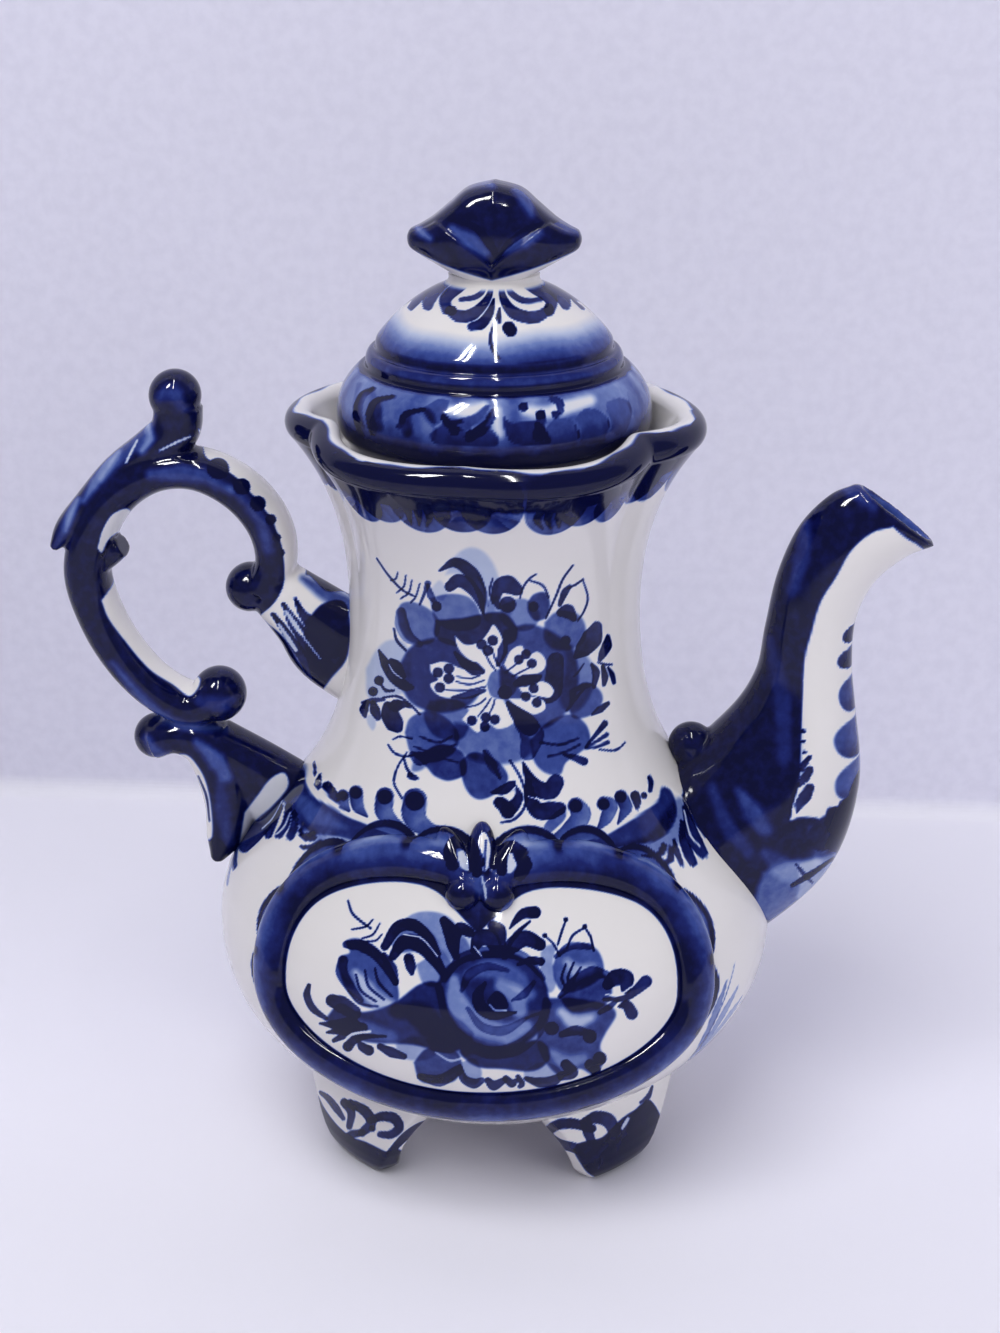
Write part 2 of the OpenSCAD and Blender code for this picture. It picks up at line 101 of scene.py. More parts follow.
def sheetPiece(name, surface, uRange, vRange, spacing):
    # a flat grid bent onto surface(u, v), which gives points in millimetres, with the surface's own normals
    probes = 40
    acrossU = surface(np.linspace(*uRange, probes), np.full(probes, mix(*vRange, 0.5)))
    acrossV = surface(np.full(probes, mix(*uRange, 0.5)), np.linspace(*vRange, probes))
    columns = max(8, round(arcLengths(acrossU)[-1] / spacing))
    rows = max(3, round(arcLengths(acrossV)[-1] / spacing))
    bm = bmesh.new()
    bmesh.ops.create_grid(bm, x_segments=columns, y_segments=rows, size=0.5)
    piece = addPiece(name, bm)
    flat = readPoints(piece, "co") + 0.5
    u = mix(*uRange, flat[:, 0])
    v = mix(*vRange, flat[:, 1])
    uStep = (uRange[1] - uRange[0]) / columns * 0.6
    vStep = (vRange[1] - vRange[0]) / rows * 0.6
    tangentU = surface(u + uStep, v) - surface(u - uStep, v)
    tangentV = surface(u, v + vStep) - surface(u, v - vStep)
    normals = np.cross(tangentU, tangentV)
    normals /= np.maximum(np.linalg.norm(normals, axis=1), 1e-12)[:, None]
    piece.data.vertices.foreach_set("co", (surface(u, v) * mm).astype(np.float32).ravel())
    piece.data.update()
    piece.data.shade_smooth()
    piece.data.normals_split_custom_set_from_vertices(normals)
    return piece, u, v


def ringSkin(bm, rings):      # a grid rolled into a tube through the rings, with both ends closed
    rows, columns = rings.shape[0] - 1, rings.shape[1]
    verts = bmesh.ops.create_grid(bm, x_segments=columns, y_segments=rows, size=0.5)["verts"]
    for vert in verts:
        i = round((vert.co.y + 0.5) * rows)
        j = round((vert.co.x + 0.5) * columns) % columns
        vert.co = rings[i, j] * mm
    bmesh.ops.remove_doubles(bm, verts=verts, dist=1e-6)
    bmesh.ops.holes_fill(bm, edges=[edge for edge in bm.edges if edge.is_boundary], sides=0)


def addBall(bm, spot, radius, sides=(32, 24), form=Matrix()):    # spot and radius in millimetres
    place = Matrix.Translation(Vector(spot) * mm)
    bmesh.ops.create_uvsphere(bm, u_segments=sides[0], v_segments=sides[1], radius=radius * mm,
                              matrix=place @ form)


def revolve(name, profile, steps):    # a closed profile of radius and height, spun about the axis
    bm = bmesh.new()
    verts = [bm.verts.new((r * mm, 0, z * mm)) for r, z in profile]
    edges = [bm.edges.new(pair) for pair in zip(verts, verts[1:] + verts[:1])]
    bmesh.ops.spin(bm, geom=verts + edges, cent=(0, 0, 0), axis=(0, 0, 1), angle=2 * math.pi, steps=steps,
                   use_merge=True)
    bmesh.ops.recalc_face_normals(bm, faces=bm.faces)
    piece = addPiece(name, bm)
    piece.data.shade_smooth()
    return piece


def fuse(name, bm, voxel, rounds):    # joins overlapping forms into one soft skin, as slip and glaze do
    bmesh.ops.recalc_face_normals(bm, faces=bm.faces)
    piece = addPiece(name, bm)
    remesh = piece.modifiers.new("remesh", "REMESH")
    remesh.mode = "VOXEL"
    remesh.voxel_size = voxel * mm
    smooth = piece.modifiers.new("smooth", "SMOOTH")
    smooth.factor = 0.5
    smooth.iterations = rounds
    bpy.context.view_layer.update()
    fused = bpy.data.meshes.new_from_object(piece.evaluated_get(bpy.context.evaluated_depsgraph_get()))
    piece.modifiers.clear()
    piece.data = fused
    fused.name = name
    fused.shade_smooth()
    return piece


def dress(piece, density, material, body, slot, *nodes):
    piece.data.attributes.new("cobalt", "FLOAT", "POINT").data.foreach_set(
        "value", np.clip(density, 0, 1.4).astype(np.float32))
    piece.data.materials.clear()
    piece.data.materials.append(material)
    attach(piece, body)
    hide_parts(*nodes)


# the painter's brush: every stroke adds cobalt to the points of a piece, by their places on a flat sheet
brush = dict(soft=1.2, pool=0.12, hiding=0.35, strokeSteps=7, fillSteps=6, glazeSoft=9)


class Coat:
    def __init__(self, sheet):
        self.sheet = sheet
        self.load = np.zeros(len(sheet))
        self.order = np.argsort(sheet[:, 0])
        self.sorted = sheet[self.order, 0]

    def near(self, low, high):
        span = self.order[np.searchsorted(self.sorted, low[0]):np.searchsorted(self.sorted, high[0])]
        y = self.sheet[span, 1]
        return span[(y >= low[1]) & (y <= high[1])]

    def lay(self, near, cover, tone, wipe):    # wipes a share off, or adds, less where much lies already
        load = self.load[near]
        if wipe:
            self.load[near] = load * (1 - cover * wipe)
        else:
            self.load[near] = load + cover * tone * (1 - brush["hiding"] * np.clip(load, 0, 1))


def fromRun(spots, start, end):       # spots from a straight run's start, places along it, distances from it
    run = end - start
    rel = spots - start
    t = np.clip(rel @ run / max(run @ run, 1e-12), 0, 1)
    gap = rel - t[:, None] * run
    return rel, t, np.hypot(gap[:, 0], gap[:, 1])


def stroke(coat, points, widths, loads, shade=0.0, soft=brush["soft"], wipe=0, pool=brush["pool"]):
    # widths and loads run along the stroke; shade makes one edge of it darker than the other
    path = through(points, brush["strokeSteps"]) if len(points) > 2 else np.linspace(*points, 4)
    along = np.linspace(0, 1, len(path))
    half = np.interp(along, np.linspace(0, 1, len(widths)), widths)
    reach = half.max() + soft
    near = coat.near(path.min(0) - reach, path.max(0) + reach)
    if not len(near):
        return
    spots = coat.sheet[near]
    best = np.full(len(near), 1e9)
    bestT = np.zeros(len(near))
    bestSide = np.zeros(len(near))
    for i in range(len(path) - 1):
        run = path[i + 1] - path[i]
        rel, t, away = fromRun(spots, path[i], path[i + 1])
        width = mix(half[i], half[i + 1], t)
        edge = away - width
        better = edge < best
        best = np.where(better, edge, best)
        bestT = np.where(better, mix(along[i], along[i + 1], t), bestT)
        side = (run[0] * rel[:, 1] - run[1] * rel[:, 0]) / max(np.hypot(*run), 1e-9)
        bestSide = np.where(better, np.clip(side / np.maximum(width, 1e-6), -1, 1), bestSide)
    load = np.interp(bestT, np.linspace(0, 1, len(loads)), loads)
    tone = load * np.clip(1 + shade * bestSide, 0, 2) + pool * np.exp(-(best / (soft * 1.1)) ** 2)
    coat.lay(near, ease(0.5 - best / soft), tone, wipe)


def fill(coat, points, load, soft, wipe):
    path = through([*points, points[0]], brush["fillSteps"])
    near = coat.near(path.min(0) - soft, path.max(0) + soft)
    if not len(near):
        return
    spots = coat.sheet[near]
    inside = np.zeros(len(near), bool)
    best = np.full(len(near), 1e9)
    for a, b in zip(path[:-1], path[1:]):
        best = np.minimum(best, fromRun(spots, a, b)[2])
        crosses = (a[1] > spots[:, 1]) != (b[1] > spots[:, 1])
        x = a[0] + (spots[:, 1] - a[1]) * (b[0] - a[0]) / (b[1] - a[1] if b[1] != a[1] else 1e-9)
        inside ^= crosses & (spots[:, 0] < x)
    coat.lay(near, ease(0.5 + np.where(inside, best, -best) / soft), load, wipe)


def painted(sheet, motif, base=0):    # the load that a motif leaves on a coat that starts from base
    # each step is (kind, load, size, x, y, x, y, ...); a negative load takes cobalt off again
    coat = Coat(sheet)
    coat.load[:] = base
    for kind, load, size, *flat in motif:
        points = np.array(flat, float).reshape(-1, 2)
        off = max(0, -load)
        if kind == "wash":        # a filled shape with an edge of that softness
            fill(coat, points, load, size, off)
        elif kind == "round":     # a dab of that radius at every point
            for x, y in points:
                stroke(coat, np.array([(x - 0.1, y), (x + 0.1, y)]), (size, size), (load, load))
        elif kind == "line":      # a thin line
            stroke(coat, points, (size * 0.7, size, size * 0.8), (load, load), soft=1.0, wipe=off)
        elif kind == "glaze":     # a wide, very soft stroke
            stroke(coat, points, size, (load, load), soft=brush["glazeSoft"], wipe=off, pool=0)
        elif kind == "comma":     # a leaf stroke that starts from a dark dab
            stroke(coat, points, size, (load, load * 0.75, load), shade=0.25)
            stroke(coat, points[:1] + ((-0.1, 0.5), (0.1, 0.5)), (size[0] * 0.78,) * 2, (0.7, 0.7), soft=2)
        else:                     # a stroke of those half widths, with its left or right edge darker
            shade = {"leaf": 0.0, "left": 0.5, "right": -0.5}[kind]
            stroke(coat, points, size, (load, load * 0.8), shade, wipe=off)
    return coat.load


# the cartoon: strokes are placed as seen from in front of the pot, in sheet units
cartoon = dict(away=484.0, high=308.0, turn=3.5, tilt=21.5, scale=2200.0, middle=(494.5, 666.0), perMm=4.3)
cartoonTurn, cartoonTilt = math.radians(cartoon["turn"]), math.radians(cartoon["tilt"])
eyeSpot = np.array([math.sin(cartoonTurn) * cartoon["away"], -math.cos(cartoonTurn) * cartoon["away"],
                    cartoon["high"]])


def onCartoon(spots):
    right = np.array([math.cos(cartoonTurn), math.sin(cartoonTurn), 0])
    level = np.array([-math.sin(cartoonTurn), math.cos(cartoonTurn), 0])
    ahead = level * math.cos(cartoonTilt) - np.array([0, 0, math.sin(cartoonTilt)])
    rel = spots - eyeSpot
    away = cartoon["scale"] / (rel @ ahead)
    return np.column_stack([cartoon["middle"][0] + away * (rel @ right),
                            cartoon["middle"][1] - away * (rel @ np.cross(right, ahead))])


def turnedToFront(spots):     # the back repeats the front, turned half round
    return spots * (np.where(spots[:, 1:2] > 0, -1.0, 1.0) * (1, 1, 0) + (0, 0, 1))


def paintSide(piece, motif, base=0):
    # what faces away from the front is painted as its mirror image in front is
    spots = spotsOf(piece)
    away = ((eyeSpot - spots) * readPoints(piece, "normal")).sum(1) < 0
    spots[:, 1] = np.where(away, -np.abs(spots[:, 1]), spots[:, 1])
    return painted(onCartoon(spots), motif, base)


# the pot
pot = dict(rimZ=180.4, rimR=48.0, notchIn=5.0, notchLift=1.6, frontDip=2.4, rimTurn=-5.0, lobes=6, lipR=3.6,
           waistR=34.0, waistZ=134.0, bellyR=67.0, bellyZ=55.0, baseR=34.0, baseZ=13.0, wall=3.6,
           seatZ=170.0, pocketR=37.4, throatR=31.0, ledge=7.0, bite=1.2, biteTop=164.0, lowZ=31, midZ=95)


def potOutline():
    # rows of radius, height and share of the lobes, from the underside to the cavity's floor
    base, belly, waist, wall = pot["baseZ"], pot["bellyZ"], pot["waistZ"], pot["wall"]
    lipX, lipZ = pot["rimR"] - pot["lipR"], pot["rimZ"] - pot["lipR"]
    neck, seat, ledge = pot["waistR"], pot["seatZ"], pot["seatZ"] - pot["ledge"]
    full, foot, pocket, throat = pot["bellyR"], pot["baseR"], pot["pocketR"], pot["throatR"]

    def onLip(degrees):
        turns = np.radians(degrees)
        return np.column_stack([lipX + pot["lipR"] * np.cos(turns), lipZ + pot["lipR"] * np.sin(turns)])

    lower = bezier([(foot, base), (mix(foot, full, 0.6), mix(base, belly, 0.28)),
                    (full, mix(base, belly, 0.55)), (full, belly)], 60)
    upper = bezier([(full, belly), (full, mix(belly, waist, 0.36)),
                    (neck, mix(belly, waist, 0.34)), (neck, waist)], 90)
    throatSide = bezier([(neck, waist), (neck, mix(waist, lipZ, 0.45)),
                         (mix(neck, lipX, 0.5), mix(waist, lipZ, 0.72)), onLip([-50])[0]], 60)
    outer = np.vstack([lower, upper[1:], throatSide[1:]])
    lip = onLip(np.linspace(-46, 150, 48))
    flare = bezier([lip[-1], lip[-1] + (-0.8, -1.4), (pocket + 1.6, seat + 5.4),
                    (pocket + 0.1, seat + 3)], 14)
    step = np.array([(pocket, seat + 0.7), (pocket - 0.2, seat + 0.2), (pocket - 0.7, seat),
                     (throat + 0.7, seat), (throat + 0.2, seat - 0.2), (throat, seat - 0.7),
                     (throat, ledge + 1.5)])
    run = unit(np.gradient(outer, axis=0))
    inner = outer + wall * np.column_stack([-run[:, 1], run[:, 0]])
    inner = inner[(inner[:, 1] > base + wall + 0.4) & (inner[:, 1] < ledge)][::-1]
    floor = np.array([(inner[-1, 0] - 3, base + wall), (0.002, base + wall)])
    under = np.array([(0.002, base), (foot - 2, base)])
    side = np.vstack([under, outer, lip, flare[1:], step, inner, floor])
    counts = [len(under) + len(outer), len(lip), len(flare) - 1, len(step)]
    lipAt, flareAt, stepAt, ledgeAt = np.cumsum(counts)
    lobesFrom = mix(belly, waist, 0.75)
    share = np.clip((side[:, 1] - lobesFrom) / (pot["rimZ"] - lobesFrom), 0, 1) ** 1.6
    share[flareAt:stepAt] *= np.linspace(1, 0, stepAt - flareAt)
    share[stepAt:] = 0
    return np.column_stack([side, share]), lipAt, ledgeAt


potSide, lipStart, ledgeStart = potOutline()
potRun = arcLengths(potSide[:, :2])
outerSide = potSide[:lipStart]


def runAt(z):                 # distance along the outline to a height on the outside
    return np.interp(z, outerSide[1:, 1], potRun[1:lipStart])


def bellyAt(z):
    return np.interp(z, outerSide[1:, 1], outerSide[1:, 0])


def bellyNormal(spots):
    slope = (bellyAt(spots[:, 2] + 1) - bellyAt(spots[:, 2] - 1)) / 2
    return unit(np.column_stack([spots[:, :2], -slope * np.hypot(spots[:, 0], spots[:, 1])]))


def potSurface(angle, run):
    r, z, share = (np.interp(run, potRun, potSide[:, k]) for k in range(3))
    turned = angle - math.radians(pot["rimTurn"])
    wave = np.sqrt(np.cos(pot["lobes"] / 2 * turned) ** 2 + 0.004)
    dip = share * (1 - wave) * mix(1, 0.4, np.sin(turned) ** 6)
    r = r - pot["notchIn"] * dip
    z = z + share * (pot["notchLift"] * dip - pot["frontDip"] * np.sin(angle) ** 2)
    return np.column_stack([r * np.cos(angle), r * np.sin(angle), z])


def trimToPot(bm):            # keeps a luted-on form out of the pot, but for the bite that holds it
    for vert in bm.verts:
        x, y, z = vert.co / mm
        least = bellyAt(z) - pot["bite"]
        away = math.hypot(x, y)
        if away < least and z < pot["biteTop"]:
            vert.co.x *= least / max(away, 1e-6)
            vert.co.y *= least / max(away, 1e-6)


# raised frames round the two painted cartouches; they are painted between the zone's heights
cartouche = dict(halfWidth=48.5, middle=59.5, low=35.5, high=90.0, cusp=8.5, cuspWidth=7.0, rollWidth=10.0,
                 rollHeight=3.2, gap=3.8, rings=260, petal=3.4, petalLength=17.0, bulb=4.0,
                 ballSides=(24, 20), voxel=0.42, softness=3, arches=17, zone=(28, 98), plumeWidth=11)


def framePath(angle):         # x and z of the middle of the roll
    c = cartouche
    x = c["halfWidth"] * np.cos(angle)
    s = np.sin(angle)
    rise = np.where(s > 0, c["high"] - c["middle"] + 1.5, c["middle"] - c["low"])
    dent = (s > 0) * c["cusp"] * np.exp(-np.abs(x) / c["cuspWidth"])
    return np.column_stack([x, c["middle"] + rise * np.sign(s) * np.abs(s) ** 0.86 - dent])


def onBelly(flat):
    r = bellyAt(flat[:, 1])
    return np.column_stack([flat[:, 0], -np.sqrt(r ** 2 - flat[:, 0] ** 2), flat[:, 1]])


def frameAxes():              # the middle of the roll, and the ways along it and across it
    gap = math.radians(cartouche["gap"])
    angle = np.linspace(math.pi / 2 + gap, math.pi * 2.5 - gap, cartouche["rings"])
    middle = onBelly(framePath(angle))
    ahead = unit(onBelly(framePath(angle + 0.03)) - onBelly(framePath(angle - 0.03)))
    return middle, ahead, unit(np.cross(ahead, bellyNormal(middle)))


def frameRuns(spots):         # each point's way along the roll and out across it, and the roll's length
    middle, ahead, side = frameAxes()
    nearest = np.concatenate([np.argmin(((part[:, None] - middle[None]) ** 2).sum(2), axis=1)
                              for part in np.array_split(spots, len(spots) // 4000 + 1)])
    rel = spots - middle[nearest]
    along = arcLengths(middle)
    return along[nearest] + (rel * ahead[nearest]).sum(1), (rel * side[nearest]).sum(1), along[-1]


def frameBand(u, v, full):    # u runs along the roll, v across it from the inner edge out
    lobe = ((u / full + 0.004 * np.sin(u * 0.11)) * cartouche["arches"]) % 1
    arch = np.sin(math.pi * lobe) ** 0.65
    rim = 4.5 + 4.3 * arch
    inner = -6.2 + 0.15 * np.sin(u * 0.13)
    body = ease((v - inner) / 0.5) * ease((rim - v) / 0.5)
    dark = 0.4 * ease((0.8 - v) / 6) + 0.5 * ease((v - rim + 2.6 - 0.7 * lobe) / 0.6)
    blob = 0.6 * np.exp(-((lobe - 0.06) / 0.07) ** 2 - ((v - 2.6) / 1.4) ** 2)
    light = -0.26 * np.exp(-((v - rim + 4.6) / 1.5) ** 2) * arch ** 2
    wash = 0.58 + 0.07 * np.sin(u * 0.17 + 1) + 0.04 * np.sin(u * 0.43)
    return body * (wash + dark + blob + light)


# the plume over the cusp: three bare hearts, two side loops, then the middle one and the cusp below it
plumePaint = [
    ("wash", -0.95, 2, 478, 846, 480, 834, 485, 830, 490, 836, 492, 850, 490, 864, 484, 872, 480, 862),
    ("wash", -0.85, 2, 457, 862, 458, 852, 464, 850, 468, 858, 469, 870, 462, 868),
    ("wash", -0.85, 2, 507, 862, 510, 853, 516, 854, 517, 864, 512, 872, 507, 872),
    ("leaf", 0.85, (6, 6, 6, 5), 453, 864, 450, 850, 457, 841, 469, 846),
    ("leaf", 0.8, (4, 5, 5), 468, 848, 474, 860, 477, 872),
    ("leaf", 0.85, (5, 6, 6, 6, 5), 480, 862, 473, 846, 475, 832, 484, 825, 493, 832),
    ("leaf", 0.85, (5, 6, 5), 493, 834, 497, 848, 494, 864),
    ("leaf", 0.85, (5, 6, 6, 6), 502, 870, 502, 854, 511, 846, 522, 852),
    ("leaf", 0.85, (6, 7, 6), 520, 856, 525, 864, 520, 874),
    ("line", 0.5, 1.4, 484, 872, 485, 854, 486, 840),
    ("glaze", 0.3, (5, 7, 5), 466, 892, 478, 902, 490, 910),
    ("line", -0.8, 1.6, 482, 876, 485, 888, 486, 898)]


def paintFrame(spots):
    band = frameBand(*frameRuns(spots))
    low = cartouche["high"] - cartouche["cusp"]
    foot = 0.5 * ease((low + 6 - spots[:, 2]) / 3) * (spots[:, 2] > low - 4)
    base = np.where(np.abs(spots[:, 0]) < cartouche["plumeWidth"], np.maximum(band, foot), band)
    return painted(onCartoon(spots), plumePaint, base)


def makeFrames(material):
    c = cartouche
    middle, side = frameAxes()[::2]
    pinch = np.where(middle[:, 2] > c["middle"], 0.45 * np.exp(-(middle[:, 0] / c["cuspWidth"]) ** 2), 0)
    width = (c["rollWidth"] / 2 * (1 - pinch))[:, None, None]
    turns = np.linspace(math.pi, 0, 17)
    across = np.concatenate([[-1], np.cos(turns), [1]])[None, :, None]
    rise = np.concatenate([[-pot["bite"]], c["rollHeight"] * np.sin(turns), [-pot["bite"]]])[None, :, None]
    rings = middle[:, None] + width * across * side[:, None] + rise * bellyNormal(middle)[:, None]
    low = c["high"] - c["cusp"] + 3
    for name, turn in (("frame_front", 0), ("frame_back", math.pi)):
        bm = bmesh.new()
        ringSkin(bm, rings)
        for lean in (-1, 0, 1):
            foot, tip = onBelly(np.array([(lean * 2.6, low), (lean * 8.6, low + 13 - 3 * abs(lean))]))
            line = unit(tip - foot)
            swell = Matrix.Diagonal((1, 1, c["petalLength"] / c["petal"] / 2, 1))
            addBall(bm, foot + line * c["petalLength"] * 0.42, c["petal"], c["ballSides"],
                    Vector(line).to_track_quat("Z", "Y").to_matrix().to_4x4() @ swell)
        for spot in onBelly(np.array([(-3.8, low - 0.6), (3.8, low - 0.6)])):
            addBall(bm, spot, c["bulb"], c["ballSides"])
        bmesh.ops.rotate(bm, verts=bm.verts, cent=(0, 0, 0), matrix=Matrix.Rotation(turn, 3, "Z"))
        piece = fuse(name + "Roll", bm, c["voxel"], c["softness"])
        facing = spotsOf(piece) * (1 if turn == 0 else (-1, -1, 1))
        dress(piece, paintFrame(facing), material, "pot", "cobalt_frame", name)
    print("frames made")


